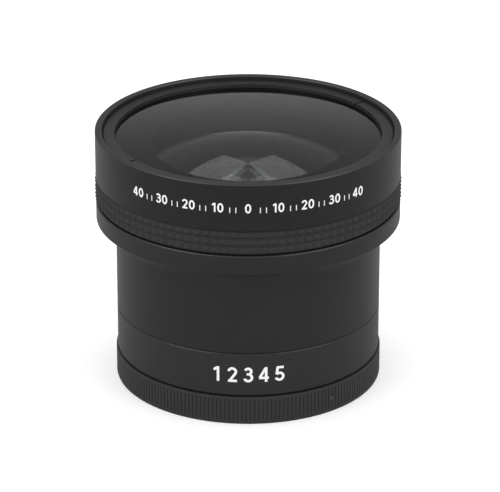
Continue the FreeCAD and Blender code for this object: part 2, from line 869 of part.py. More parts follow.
def main():
    """Builds the document, checks every piece and writes one STEP file for each."""
    doc = FreeCAD.newDocument("ConversionLens")
    dim = fill_sheet(doc)
    doc.recompute()
    rad = set_radii(dim)
    at = set_levels(dim, rad)
    pieces = [maker(doc, dim, rad, at) for maker in MAKERS]
    doc.recompute()
    failed = failed_objects(doc)
    if failed:
        raise RuntimeError("these objects did not compute: " + ", ".join(failed))
    for piece in pieces:
        if piece.Shape.isNull() or not piece.Shape.isValid():
            raise RuntimeError(piece.Label + " has no valid shape")
    os.makedirs("parts", exist_ok=True)
    for piece in pieces:
        piece.Shape.exportStep(os.path.join("parts", piece.Label + ".step"))
        box = piece.Shape.optimalBoundingBox()
        print(f"{piece.Label}: {len(piece.Shape.Solids)} solids, {piece.Shape.Volume:.1f} mm3, "
              f"z {box.ZMin:.2f} to {box.ZMax:.2f}, radius {box.XMax:.2f}")


main()
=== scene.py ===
"""Looks of a wide-angle conversion lens that stands on its rear cap.

The sizes in the classes are millimetres, with heights counted from the base of the cap, and the
meshes are made in metres. The optical axis is the Z axis, and the front glass faces up.
"""

import json
import logging
import math
from dataclasses import dataclass, replace
from enum import Enum
from functools import cached_property, reduce
from typing import Callable, NamedTuple, Sequence

import bpy
import numpy as np
from mathutils import Matrix, Vector


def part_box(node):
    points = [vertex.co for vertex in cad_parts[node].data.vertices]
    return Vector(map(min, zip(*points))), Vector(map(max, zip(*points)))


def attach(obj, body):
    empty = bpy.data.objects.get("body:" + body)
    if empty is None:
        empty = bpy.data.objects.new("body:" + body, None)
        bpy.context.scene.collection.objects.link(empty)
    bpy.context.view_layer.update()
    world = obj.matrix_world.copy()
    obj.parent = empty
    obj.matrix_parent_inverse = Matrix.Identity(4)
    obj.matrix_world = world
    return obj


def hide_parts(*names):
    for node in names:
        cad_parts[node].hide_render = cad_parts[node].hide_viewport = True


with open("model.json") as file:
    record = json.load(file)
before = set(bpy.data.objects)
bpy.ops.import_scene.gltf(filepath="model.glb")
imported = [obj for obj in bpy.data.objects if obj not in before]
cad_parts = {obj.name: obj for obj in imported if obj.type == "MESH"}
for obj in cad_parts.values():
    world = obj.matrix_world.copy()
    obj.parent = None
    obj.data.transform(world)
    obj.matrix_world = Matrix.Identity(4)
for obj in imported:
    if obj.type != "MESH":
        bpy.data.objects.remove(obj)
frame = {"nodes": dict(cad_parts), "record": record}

log = logging.getLogger("conversion_lens")

MM = 0.001
NEAR = 0.01
COLUMNS = 360
SHARP_DEG = 35.0
WHITE = (1.0, 1.0, 1.0, 1.0)

Array = np.ndarray
Point = tuple[float, float]
Walls = tuple[Array, Array]
Relief = Callable[[Array, Array, Array], Walls]
Choice = Callable[[Array, Array], Array]
Stroke = tuple[Array, list[Array]]
Piece = bpy.types.Object
Tree = bpy.types.NodeTree
Node = bpy.types.Node
Socket = bpy.types.NodeSocket


class Bend(Enum):
    """Which way an arc turns on the way from its first point to its last."""

    LEFT = 1
    RIGHT = -1


class Side(Enum):
    """Which side of the object a lamp stands on, as the viewer sees it."""

    LEFT = -1
    RIGHT = 1


class Outline:
    """A turned outline in the half plane of radius and height, drawn anticlockwise.

    It closes on itself, or begins and ends on the axis. A corner is a radius, a height and, where
    it is rounded, the radius of its arc, which touches both sides at
    rounding / tan(half the corner's angle) from the corner.
    """

    ROUND_STEPS = 4
    HOLD_SHARE = 0.2
    SIDE_SHARE = 0.4

    def __init__(self, *corners: Sequence[float]) -> None:
        """Starts the outline with straight sides between corners."""
        self.corners: list[tuple[float, float, float]] = []
        self.line(*corners)

    def line(self, *corners: Sequence[float]) -> "Outline":
        """Draws straight sides to the next corners, and gives the outline back."""
        self.corners.extend((*corner, 0.0)[:3] for corner in corners)
        return self

    def ladder(self, radius: float, height: float, steps: int) -> "Outline":
        """Draws one straight side in equal stretches, for a relief on it.

        Args:
            radius: The next corner's radius.
            height: Its height.
            steps: Number of stretches.

        Returns:
            The outline, so that calls can be chained.
        """
        start, end = np.array(self.corners[-1][:2]), np.array([radius, height])
        self.line(*(start + (end - start) * share for share in np.linspace(0.0, 1.0, steps + 1)[1:-1]))
        return self.line((radius, height))

    def curve(self, radius: float, height: float, curve: float, bend: Bend, steps: int = 24) -> "Outline":
        """Draws the short arc of radius curve to the next corner.

        The centre lies on the chord's middle normal, at sqrt(curve^2 - (chord / 2)^2) from it.

        Args:
            radius: The corner's radius from the axis.
            height: The corner's height.
            curve: Radius of the arc itself.
            bend: Which way the arc turns.
            steps: Number of equal stretches along the arc.

        Returns:
            The outline.
        """
        start, end = np.array(self.corners[-1][:2]), np.array([radius, height])
        chord = end - start
        half = np.linalg.norm(chord) / 2
        left = np.array([-chord[1], chord[0]]) / (2 * half)
        centre = (start + end) / 2 + left * bend.value * math.sqrt(max(curve**2 - half**2, 0.0))
        first = math.atan2(*(start - centre)[::-1])
        sweep = 2 * math.asin(min(half / curve, 1.0)) * bend.value
        angles = first + sweep * np.linspace(0.0, 1.0, steps + 1)[1:-1]
        self.line(*(centre + curve * np.array([math.cos(angle), math.sin(angle)]) for angle in angles))
        return self.line((radius, height))

    def hollow(self, depth: float, steps: int) -> None:
        """Closes a glass's outline from the axis, with a hollow that ends at its first corner.

        The hollow's radius of curvature is (opening^2 + depth^2) / (2 depth).

        Args:
            depth: How deep the hollow is on the axis.
            steps: Number of equal stretches along its arc.
        """
        opening, low, _ = self.corners[0]
        curvature = (opening**2 + depth**2) / (2 * depth)
        self.line((0.0, low + depth)).curve(opening, low, curvature, Bend.RIGHT, steps)
        self.corners.pop()

    def rounded(self, before: Array, corner: Array, after: Array, rounding: float) -> list[Array]:
        """Draws one rounded corner, with a holding point on each side of its arc.

        Args:
            before: The corner before it.
            corner: The corner itself.
            after: The corner after it.
            rounding: Radius of its arc, which short sides make smaller.

        Returns:
            Its points in order.
        """
        back, ahead = before - corner, after - corner
        reach = min(np.linalg.norm(back), np.linalg.norm(ahead)) * self.SIDE_SHARE
        back, ahead = back / np.linalg.norm(back), ahead / np.linalg.norm(ahead)
        half_angle = math.acos(float(np.clip(back @ ahead, -1.0, 1.0))) / 2
        tangent = min(rounding / math.tan(half_angle), reach)
        rounding = tangent * math.tan(half_angle)
        middle = (back + ahead) / np.linalg.norm(back + ahead)
        centre = corner + middle * rounding / math.sin(half_angle)
        arms = [corner + back * tangent - centre, corner + ahead * tangent - centre]
        first, last = (math.atan2(arm[1], arm[0]) for arm in arms)
        sweep = (last - first + math.pi) % (2 * math.pi) - math.pi
        turns = first + sweep * np.linspace(0.0, 1.0, self.ROUND_STEPS + 1)
        arc = [centre + rounding * np.array([math.cos(turn), math.sin(turn)]) for turn in turns]
        hold = tangent * (1 + self.HOLD_SHARE)
        return [corner + back * hold, *arc, corner + ahead * hold]

    def points(self, closed: bool = True) -> Array:
        """Draws the outline with its corners rounded.

        Args:
            closed: Whether it goes on from its last corner to its first. Its points then run
                anticlockwise, and those of an open outline stay in the order drawn.

        Returns:
            Radius and height, one row a point.
        """
        flat = np.array([corner[:2] for corner in self.corners])
        count = len(flat)
        made: list[Array] = []
        for place, (_, _, rounding) in enumerate(self.corners):
            if rounding > 0 and (closed or 0 < place < count - 1):
                made.extend(self.rounded(flat[place - 1], flat[place], flat[(place + 1) % count], rounding))
            else:
                made.append(flat[place])
        path = np.array(made)
        ahead = np.roll(path, -1, axis=0)
        double_area = np.sum(path[:, 0] * ahead[:, 1] - ahead[:, 0] * path[:, 1])
        return path[::-1] if closed and double_area < 0 else path


def even_angles(count: int) -> Array:
    """Angles spaced evenly once round the axis."""
    return np.arange(count) * (2 * math.pi / count)


def build_mesh(name: str, vertices: Array, face_groups: Sequence[Array]) -> Piece:
    """Makes an object from whole arrays of vertices and faces, sharp where it turns by SHARP_DEG.

    Args:
        name: The object's name.
        vertices: One row of x, y and z in millimetres for each vertex.
        face_groups: Arrays of vertex numbers, one face a row, each array with its own face width.

    Returns:
        The new object, linked to the scene, at the origin.
    """
    used, compact = np.unique(np.concatenate([group.ravel() for group in face_groups]), return_inverse=True)
    widths = np.concatenate([np.full(len(group), group.shape[1]) for group in face_groups])
    mesh = bpy.data.meshes.new(name)
    mesh.vertices.add(len(used))
    mesh.vertices.foreach_set("co", (vertices[used] * MM).astype(np.float32).ravel())
    mesh.loops.add(len(compact))
    mesh.loops.foreach_set("vertex_index", compact.astype(np.int32))
    mesh.polygons.add(len(widths))
    mesh.polygons.foreach_set("loop_start", np.concatenate([[0], np.cumsum(widths)[:-1]]).astype(np.int32))
    mesh.update(calc_edges=True)
    mesh.validate()
    mesh.shade_smooth()
    mesh.set_sharp_from_angle(angle=math.radians(SHARP_DEG))
    piece = bpy.data.objects.new(name, mesh)
    bpy.context.scene.collection.objects.link(piece)
    return piece


def strip_faces(numbers: Array) -> list[Array]:
    """Joins a grid of vertex numbers into faces that close round its columns.

    Each face joins columns j and j + 1 of rows i and i + 1. A row whose numbers are all one is a
    pole, and the strip beside it is a fan of triangles.

    Args:
        numbers: Vertex numbers, one row of the outline a row.

    Returns:
        Arrays of quads and of triangles.
    """
    beside = np.roll(numbers, -1, axis=1)
    quads = np.stack([numbers[:-1], beside[:-1], beside[1:], numbers[1:]], axis=-1)
    pole = np.ptp(numbers, axis=1) == 0
    groups = [quads[~(pole[:-1] | pole[1:])].reshape(-1, 4)]
    groups += [quads[strip][:, [0, 2, 3]] for strip in np.flatnonzero(pole[:-1])]
    groups += [quads[strip][:, [0, 1, 2]] for strip in np.flatnonzero(pole[1:])]
    return [group for group in groups if len(group)]


def turned_grid(path: Array, angles: Array, relief: Relief | None = None) -> Array:
    """Carries an outline round the axis: x = r cos a, y = r sin a, z = h, with r and h from the relief.

    Args:
        path: Radius and height of each outline point.
        angles: Column angles, one for all rows or one row of them for each outline point.
        relief: Turns angle, radius and height into the raised or cut radius and height.

    Returns:
        x, y and z in millimetres on a grid of outline points by columns.
    """
    angle = np.broadcast_to(angles, (len(path), angles.shape[-1]))
    radius, height = (np.repeat(path[:, [column]], angle.shape[1], axis=1) for column in (0, 1))
    if relief is not None:
        radius, height = relief(angle, radius, height)
    return np.stack([radius * np.cos(angle), radius * np.sin(angle), height], axis=-1)


def grid_numbers(grid: Array, start: int = 0) -> Array:
    """Numbers a grid's vertices row by row, beginning at start."""
    return np.arange(grid.shape[0] * grid.shape[1]).reshape(grid.shape[:2]) + start


def turned_piece(
    name: str, outline: Outline, angles: Array | None = None, relief: Relief | None = None
) -> Piece:
    """Makes a closed turned solid from an outline.

    Args:
        name: The object's name.
        outline: The outline, closed on itself or from axis to axis.
        angles: Column angles, or None for COLUMNS even ones.
        relief: A relief on the turned surface, as turned_grid says.

    Returns:
        The new object.
    """
    path = outline.points()
    grid = turned_grid(path, even_angles(COLUMNS) if angles is None else angles, relief)
    numbers = grid_numbers(grid)
    on_axis = np.isclose(path[:, 0], 0.0)
    numbers[on_axis] = numbers[on_axis, :1]
    if not on_axis.any():
        numbers = np.vstack([numbers, numbers[:1]])
    return build_mesh(name, grid.reshape(-1, 3), strip_faces(numbers))


def stitched_piece(name: str, grids: Sequence[Array], ratio: int) -> Piece:
    """Joins a fine skin with two coarser grids into one closed mesh.

    The first grid has ratio times the columns of the others. Where two grids meet, each face takes
    ratio + 1 vertices of the fine ring and two of the coarse one.

    Args:
        name: The object's name.
        grids: The skin, the grid that follows it and the grid before it, in outline order.
        ratio: Fine columns for each coarse one.

    Returns:
        The new object.
    """
    starts = np.cumsum([0] + [grid.shape[0] * grid.shape[1] for grid in grids])
    skin, after, before = (grid_numbers(grid, start) for grid, start in zip(grids, starts))
    after[-1] = after[-1, 0]
    before[0] = before[0, 0]
    groups = [group for numbers in (skin, after, before) for group in strip_faces(numbers)]
    for fine, coarse, rising in ((skin[-1], after[0], True), (skin[0], before[-1], False)):
        along = [np.roll(fine, -step)[::ratio] for step in range(ratio + 1)]
        faces = np.stack([*along, np.roll(coarse, -1), coarse], axis=1)
        groups.append(faces if rising else faces[:, ::-1])
    return build_mesh(name, np.vstack([grid.reshape(-1, 3) for grid in grids]), groups)


def wrap_round(flat: Array, radius: float, angle: float, height: float) -> Array:
    """Lays flat points round a cylinder: x goes along the arc, y goes up and z stands off.

    Args:
        flat: Points in millimetres, with x to the right as seen from outside.
        radius: The cylinder's radius.
        angle: Where x = 0 lies, in radians.
        height: Where y = 0 lies.

    Returns:
        The wrapped points.
    """
    turn = angle + flat[:, 0] / radius
    out = radius + flat[:, 2]
    return np.column_stack([out * np.cos(turn), out * np.sin(turn), height + flat[:, 1]])


@dataclass(frozen=True)
class ScrewThread:
    """A right-hand thread as a relief on a turned wall.

    The cut below the wall is depth * (1 - form) / 2, where form is the cosine of
    2 pi height / pitch - angle, clipped to flats. One formula serves both walls of a joint, so
    they stay in mesh as they screw apart.
    """

    wall: float
    low: float
    high: float
    run_out: float = 0.3
    pitch: float = 0.75
    depth: float = 0.42
    flat: float = 1.25

    ROWS_A_TURN = 9

    @property
    def steps(self) -> int:
        """Rows that draw the thread."""
        return math.ceil((self.high - self.low) / self.pitch * self.ROWS_A_TURN)

    def relief(self, angle: Array, radius: Array, height: Array) -> Walls:
        """Cuts the thread into the rows of its own wall.

        Args:
            angle: Angle of each grid point.
            radius: Its radius.
            height: Its height.

        Returns:
            The cut radius, and the height as it was.
        """
        wave = np.cos(2 * math.pi * height / self.pitch - angle)
        form = np.clip(wave * self.flat, -1.0, 1.0)
        ends = np.minimum(height - self.low, self.high - height) / self.run_out
        on_wall = np.isclose(radius, self.wall, atol=1e-6)
        return radius - self.depth * (1 - form) / 2 * np.clip(ends, 0.0, 1.0) * on_wall, height


@dataclass(frozen=True)
class SpannerSlots:
    """Straight slots across a ring, opposite each other, for a pin spanner.

    Columns stand at angles asin(offset / radius) from the slot's middle, so the walls are straight
    and parallel, and between them the height is limited to the slot's floor.
    """

    angle_deg: float
    width: float
    floor: float
    upward: bool = True

    WALL = 0.02
    CLEAR = 1.3

    def columns(self, path: Array) -> Array:
        """Sets the columns: even ones, and seven along each slot's floor and walls.

        Args:
            path: Radius and height of each outline point.

        Returns:
            A row of column angles for each outline point.
        """
        middle = math.radians(self.angle_deg)
        half = self.width / 2
        offsets = np.array([-half - self.WALL, -half, -half / 2, 0.0, half / 2, half, half + self.WALL])
        lean = np.arcsin(offsets[None, :] / np.maximum(path[:, :1], self.width))
        turn = (even_angles(COLUMNS) - middle) % math.pi
        widest = float(lean.max()) * self.CLEAR
        kept = even_angles(COLUMNS)[(turn > widest) & (turn < math.pi - widest)]
        plain = np.broadcast_to(kept, (len(path), len(kept)))
        return np.sort(np.hstack([plain, lean + middle, lean + (middle + math.pi)]) % (2 * math.pi), axis=1)

    def relief(self, angle: Array, radius: Array, height: Array) -> Walls:
        """Holds the height to the slot's floor between its walls.

        Args:
            angle: Angle of each grid point.
            radius: Its radius.
            height: Its height.

        Returns:
            The radius as it was, and the limited height.
        """
        off = np.abs(radius * np.sin(angle - math.radians(self.angle_deg)))
        limited = np.minimum(height, self.floor) if self.upward else np.maximum(height, self.floor)
        return radius, np.where(off < (self.width + self.WALL) / 2, limited, height)


def linear(hex_colour: str) -> tuple[float, float, float, float]:
    """Turns an sRGB hex colour into linear red, green, blue and alpha."""
    channels = [int(hex_colour[place : place + 2], 16) / 255 for place in (1, 3, 5)]
    return (*[c / 12.92 if c <= 0.04045 else ((c + 0.055) / 1.055) ** 2.4 for c in channels], 1.0)


def per_mm(size: float) -> float:
    """The texture scale that gives a pattern cells of that many millimetres."""
    return 1.0 / (size * MM)


def add_node(
    tree: Tree, kind: str, values: dict | None = None, links: dict | None = None, **settings: str
) -> Node:
    """Adds a shader node.

    Args:
        tree: The node tree that gets it.
        kind: The node's type, without the ShaderNode before it.
        values: Input sockets and their values.
        links: Input sockets, and the output that feeds each, or a node for its first output.
        settings: The node's own properties.

    Returns:
        The new node.
    """
    node = tree.nodes.new("ShaderNode" + kind)
    for key, value in settings.items():
        setattr(node, key, value)
    for key, value in (values or {}).items():
        node.inputs[key].default_value = value
    for key, source in (links or {}).items():
        tree.links.new(source.outputs[0] if isinstance(source, Node) else source, node.inputs[key])
    return node


def blended(tree: Tree, share: Node, dark: str, light: str) -> Socket:
    """The output of a new node that blends two hex colours by a share."""
    colours = {6: linear(dark), 7: linear(light)}
    return add_node(tree, "Mix", colours, {0: share}, data_type="RGBA").outputs[2]


def new_material(name: str) -> tuple[bpy.types.Material, Tree]:
    """Makes an empty node material.

    Args:
        name: The material's name.

    Returns:
        The material and its node tree.
    """
    material = bpy.data.materials.new(name)
    material.use_nodes = True
    material.node_tree.nodes.clear()
    return material, material.node_tree


@dataclass(frozen=True)
class Finish:
    """What every finish has: a name, and a material that is made once."""

    name: str

    @cached_property
    def material(self) -> bpy.types.Material:
        """Makes the material when a piece first asks for it.

        Returns:
            The material, which all the pieces of this finish share.
        """
        material, tree = new_material(self.name)
        add_node(tree, "OutputMaterial", links={"Surface": self.shader(tree)})
        return material

    def shader(self, tree: Tree) -> Node:
        """Adds the finish's shader to a tree."""
        raise NotImplementedError


@dataclass(frozen=True)
class GrainedFinish(Finish):
    """An opaque surface with fine grain: two close colours, uneven gloss and a shallow bump."""

    dark: str
    light: str
    roughness: float
    roughness_spread: float
    grain: float
    grain_height: float
    cloud: float = 9.0
    turning: float = 0.0
    turning_height: float = 0.0
    metallic: float = 0.0
    specular: float = 0.5
    sheen: float = 0.0

    def shader(self, tree: Tree) -> Node:
        """Adds the shader.

        Noise with cells of the grain size bumps the surface and spreads the roughness, slower
        noise clouds the colour, and noise read along radius and height alone draws the marks that
        a lathe leaves.

        Args:
            tree: The material's tree.

        Returns:
            The shader.
        """
        place = add_node(tree, "TexCoord").outputs["Object"]
        noise = {"Detail": 3.0, "Roughness": 0.6}
        fine, slow = (
            add_node(tree, "TexNoise", {"Scale": per_mm(size), **noise}, {"Vector": place})
            for size in (self.grain, self.cloud)
        )
        low, high = self.roughness - self.roughness_spread, self.roughness + self.roughness_spread
        span = {"From Min": 0.3, "From Max": 0.7, "To Min": low, "To Max": high}
        gloss = add_node(tree, "MapRange", span, {"Value": fine})
        bump = add_node(tree, "Bump", {"Distance": self.grain_height * MM}, {"Height": fine})
        if self.turning > 0:
            bump = self.turned(tree, place, bump)
        values = {
            "Metallic": self.metallic,
            "IOR": 1.5,
            "Specular IOR Level": self.specular,
            "Sheen Weight": self.sheen,
        }
        colour = blended(tree, slow, self.dark, self.light)
        links = {"Base Color": colour, "Roughness": gloss, "Normal": bump}
        return add_node(tree, "BsdfPrincipled", values, links)

    def turned(self, tree: Tree, place: Socket, under: Node) -> Node:
        """Adds a lathe's rings: noise of (radius, height), which is the same all round the axis.

        Args:
            tree: The material's tree.
            place: The object's coordinates.
            under: The bump below the rings.

        Returns:
            The bump with the rings.
        """
        parts = add_node(tree, "SeparateXYZ", links={"Vector": place}).outputs
        flat = add_node(tree, "CombineXYZ", links={"X": parts["X"], "Y": parts["Y"]})
        radius = add_node(tree, "VectorMath", links={0: flat}, operation="LENGTH").outputs["Value"]
        turned = add_node(tree, "CombineXYZ", links={"X": radius, "Z": parts["Z"]})
        noise = {"Scale": per_mm(self.turning), "Detail": 1.0}
        rings = add_node(tree, "TexNoise", noise, {"Vector": turned})
        height = {"Distance": self.turning_height * MM}
        return add_node(tree, "Bump", height, {"Height": rings, "Normal": under})


@dataclass(frozen=True)
class OpticalGlass(Finish):
    """Polished glass with a low-reflection coating, faintly tinted."""

    tint: str
    ior: float

    def shader(self, tree: Tree) -> Node:
        """Adds the clear refracting shader to a tree."""
        clear = {"Roughness": 0.0, "Transmission Weight": 1.0}
        return add_node(tree, "BsdfPrincipled", {"Base Color": linear(self.tint), "IOR": self.ior, **clear})


# Aluminium, turned, blasted and dyed black: the oxide gives a broad, low highlight and a fine grain.
BLACK_ANODISED = GrainedFinish(
    name="satin_black_anodised_aluminium", dark="#1e1e1f", light="#232324", specular=0.3,
    roughness=0.42, roughness_spread=0.05, grain=0.11, grain_height=0.004,
    turning=0.14, turning_height=0.0015,
)
# The same aluminium with a matt dye, for what stands beside the glass: almost no highlight.
MATT_ANODISED = GrainedFinish(
    name="matt_black_anodised_aluminium", dark="#101011", light="#151516", specular=0.25,
    roughness=0.6, roughness_spread=0.06, grain=0.15, grain_height=0.004,
    turning=0.2, turning_height=0.001,
)
# The same aluminium a shade darker, on the wall of the front barrel.
DEEP_ANODISED = replace(
    BLACK_ANODISED, name="deep_black_anodised_aluminium", dark="#161617", light="#1a1a1b"
)
# The same aluminium a shade paler, on the close-up ring, on the front barrel's inside and on the ring that
# holds the glass: on the last two the paler tone is painted light that these faces catch.
PALE_ANODISED_AND_PAINTED_LIGHT = replace(
    BLACK_ANODISED, name="pale_anodised_and_painted_light", dark="#242425", light="#2a2a2b"
)
# The same aluminium, paler and glossier, on the upper chamfers: a painted highlight where these edges catch
# the light.
CHAMFER_PAINTED_HIGHLIGHT = GrainedFinish(
    name="upper_chamfer_painted_highlight", dark="#303031", light="#373738",
    roughness=0.33, roughness_spread=0.04, grain=0.1, grain_height=0.0015,
)
# Injection-moulded ABS from a lightly etched mould: paler than the metal, with a soft even gloss.
MOULDED_PLASTIC = GrainedFinish(
    name="moulded_matt_black_abs", dark="#2c2c2d", light="#323233", specular=0.35,
    roughness=0.5, roughness_spread=0.06, grain=0.2, grain_height=0.008,
)
# The same plastic painted pale on the raised pointer: a painted highlight for the glints on its ridges.
POINTER_PAINTED_HIGHLIGHT = replace(MOULDED_PLASTIC, name="black_abs_painted_highlight", dark="#5e5e5f", light="#666667")
# Moulded rubber: dull, slightly grey on its crests, with a soft sheen.
GRIP_RUBBER = GrainedFinish(
    name="moulded_black_rubber", dark="#2b2b2b", light="#333333", specular=0.2, sheen=0.05,
    roughness=0.55, roughness_spread=0.06, grain=0.16, grain_height=0.003,
)
# Smooth rubber of a seal.
SEAL_RUBBER = GrainedFinish(
    name="smooth_black_rubber", dark="#121212", light="#161616",
    roughness=0.55, roughness_spread=0.04, grain=0.3, grain_height=0.003,
)
# Black oxide on steel: a thin conversion layer, so the metal still shows through.
BLACK_OXIDE = GrainedFinish(
    name="black_oxide_steel", dark="#222326", light="#2b2c2f", metallic=1.0,
    roughness=0.38, roughness_spread=0.06, grain=0.12, grain_height=0.003,
)
# Black lacquer on the ground edges of the glass: it swallows stray light.
EDGE_LACQUER = GrainedFinish(
    name="black_edge_lacquer", dark="#040404", light="#070707", specular=0.2,
    roughness=0.55, roughness_spread=0.05, grain=0.12, grain_height=0.006,
)
# White enamel wiped into engraved figures: chalky and a little uneven.
FILLED_ENAMEL = GrainedFinish(
    name="white_filled_enamel", dark="#f8f8f6", light="#fefefd",
    roughness=0.5, roughness_spread=0.08, grain=0.18, grain_height=0.006, cloud=1.2,
)
# Crown glass, polished and coated: it nearly vanishes face on and mirrors at a low angle.
CROWN_GLASS = OpticalGlass(name="coated_crown_glass", tint="#f4f7f6", ior=1.52)


class Room(NamedTuple):
    """A node's room in millimetres: its lowest and highest height, and its outer radius."""

    low: float
    high: float
    outer: float


def room(node: str) -> Room:
    """Measures a node of the frame."""
    low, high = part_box(node)
    return Room(low.z / MM, high.z / MM, high.x / MM)


def body_of_node(node: str) -> str:
    """The body that holds a node."""
    bodies = frame["record"]["behaviour"]["bodies"]
    return next(body for body, members in bodies.items() if node in members)


@dataclass
class SubAssembly:
    """What the sub-assemblies share: common sizes, and the ways to turn and dress a piece."""

    male_wall: float = 29.0
    female_wall: float = 29.08
    neck: float = 28.5
    neck_height: float = 0.6
    chamfer: float = 0.25
    chamfer_near: float = 0.6
    edge: float = 0.06
    soft_edge: float = 0.1
    slot_width: float = 1.2
    slot_depth: float = 0.7
    lacquer_band: float = 0.12

    def add(self, piece: Piece, node: str, *finishes: Finish) -> None:
        """Gives a piece its finishes, and makes it ride on a node's body.

        Args:
            piece: The piece.
            node: The node.
            finishes: The piece's finishes, in the order of its faces' numbers.
        """
        for finish in finishes:
            piece.data.materials.append(finish.material)
        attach(piece, body_of_node(node))
        log.info("%s: %d faces, rides with %s", piece.name, len(piece.data.polygons), node)

    def fix(self, piece: Piece, node: str, *finishes: Finish) -> None:
        """Adds a piece, as add says, that stands for the node.

        Args:
            piece: The piece.
            node: The node that it replaces.
            finishes: The piece's finishes.
        """
        self.add(piece, node, *finishes)
        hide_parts(node)

    def turn(
        self,
        name: str,
        node: str,
        outline: Outline,
        *finishes: Finish,
        cuts: Sequence[ScrewThread | SpannerSlots] = (),
        chosen: Choice | None = None,
    ) -> None:
        """Turns a piece that stands for a node.

        Args:
            name: The piece's name.
            node: The node that it replaces.
            outline: Its outline.
            finishes: Its finishes, in the order of its faces' numbers.
            cuts: The threads and slots that are cut into it, the first one first.
            chosen: Tells the number of each face from the radius and height of its centre.
        """

        def relief(angle: Array, radius: Array, height: Array) -> Walls:
            """Makes the cuts one after the other."""
            return reduce(lambda walls, cut: cut.relief(angle, *walls), cuts, (radius, height))

        slots = [cut for cut in cuts if isinstance(cut, SpannerSlots)]
        angles = slots[0].columns(outline.points()) if slots else None
        piece = turned_piece(name, outline, angles, relief)
        self.fix(piece, node, *finishes)
        if chosen is not None:
            faces = piece.data.polygons
            centres = np.empty(len(faces) * 3, np.float32)
            faces.foreach_get("center", centres)
            x, y, z = centres.reshape(-1, 3).T / MM
            faces.foreach_set("material_index", chosen(np.hypot(x, y), z).astype(np.int32))

    def turn_ring(
        self, name: str, node: str, width: float, slotted: bool = True, upward: bool = True
    ) -> None:
        """Turns a matt ring of rectangular section.

        Args:
            name: The piece's name.
            node: The node that it replaces.
            width: How wide the ring is between its bore and its outside.
            slotted: Whether it has slots for a spanner.
            upward: Whether the slots are in its upper face.
        """
        low, high, outer = room(node)
        corners = ((outer - width, low), (outer, low), (outer, high), (outer - width, high))
        floor = high - self.slot_depth if upward else low + self.slot_depth
        cuts = [SpannerSlots(0.0, self.slot_width, floor, upward)] if slotted else ()
        outline = Outline(*((*corner, self.soft_edge) for corner in corners))
        self.turn(name, node, outline, MATT_ANODISED, cuts=cuts)

    def dress(self, node: str, finish: Finish) -> None:
        """Gives a node that stays as it is its finish.

        Args:
            node: The node.
            finish: Its finish.
        """
        materials = frame["nodes"][node].data.materials
        materials.clear()
        materials.append(finish.material)
        log.info("%s: dressed", node)

    def threaded_foot(self, tube: float, low: float, shoulder: float) -> tuple[Outline, ScrewThread]:
        """Begins an outline with a male thread and the neck above it.

        Args:
            tube: Inner radius of the foot.
            low: Height of the foot.
            shoulder: Height of the shoulder above the neck.

        Returns:
            The outline, up to the shoulder, and the thread.
        """
        thread = ScrewThread(self.male_wall, low + self.chamfer, shoulder - self.neck_height)
        outline = Outline((tube, low, self.edge), (self.male_wall - self.chamfer, low))
        outline.line((self.male_wall, thread.low)).ladder(self.male_wall, thread.high, thread.steps)
        return outline.line((self.neck, thread.high), (self.neck, shoulder)), thread

    def on_chamfer(self, radius: float, height: float, side: int = -1) -> Choice:
        """Picks the faces of the chamfer at an upper corner, which get a painted highlight.

        Args:
            radius: The corner's radius.
            height: The corner's height.
            side: -1 for the corner of an outer wall, 1 for that of a bore.

        Returns:
            A choice that gives these faces 1 and the others 0.
        """
        out_middle, up_middle = radius + side * self.chamfer / 2, height - self.chamfer / 2
        within = self.chamfer * self.chamfer_near
        return lambda out, up: (np.hypot(out - out_middle, up - up_middle) < within).astype(int)

    def lacquered(self, outer: float) -> Choice:
        """A choice that gives the faces of a glass's edge 1 and the others 0."""
        return lambda out, up: out > outer - self.lacquer_band


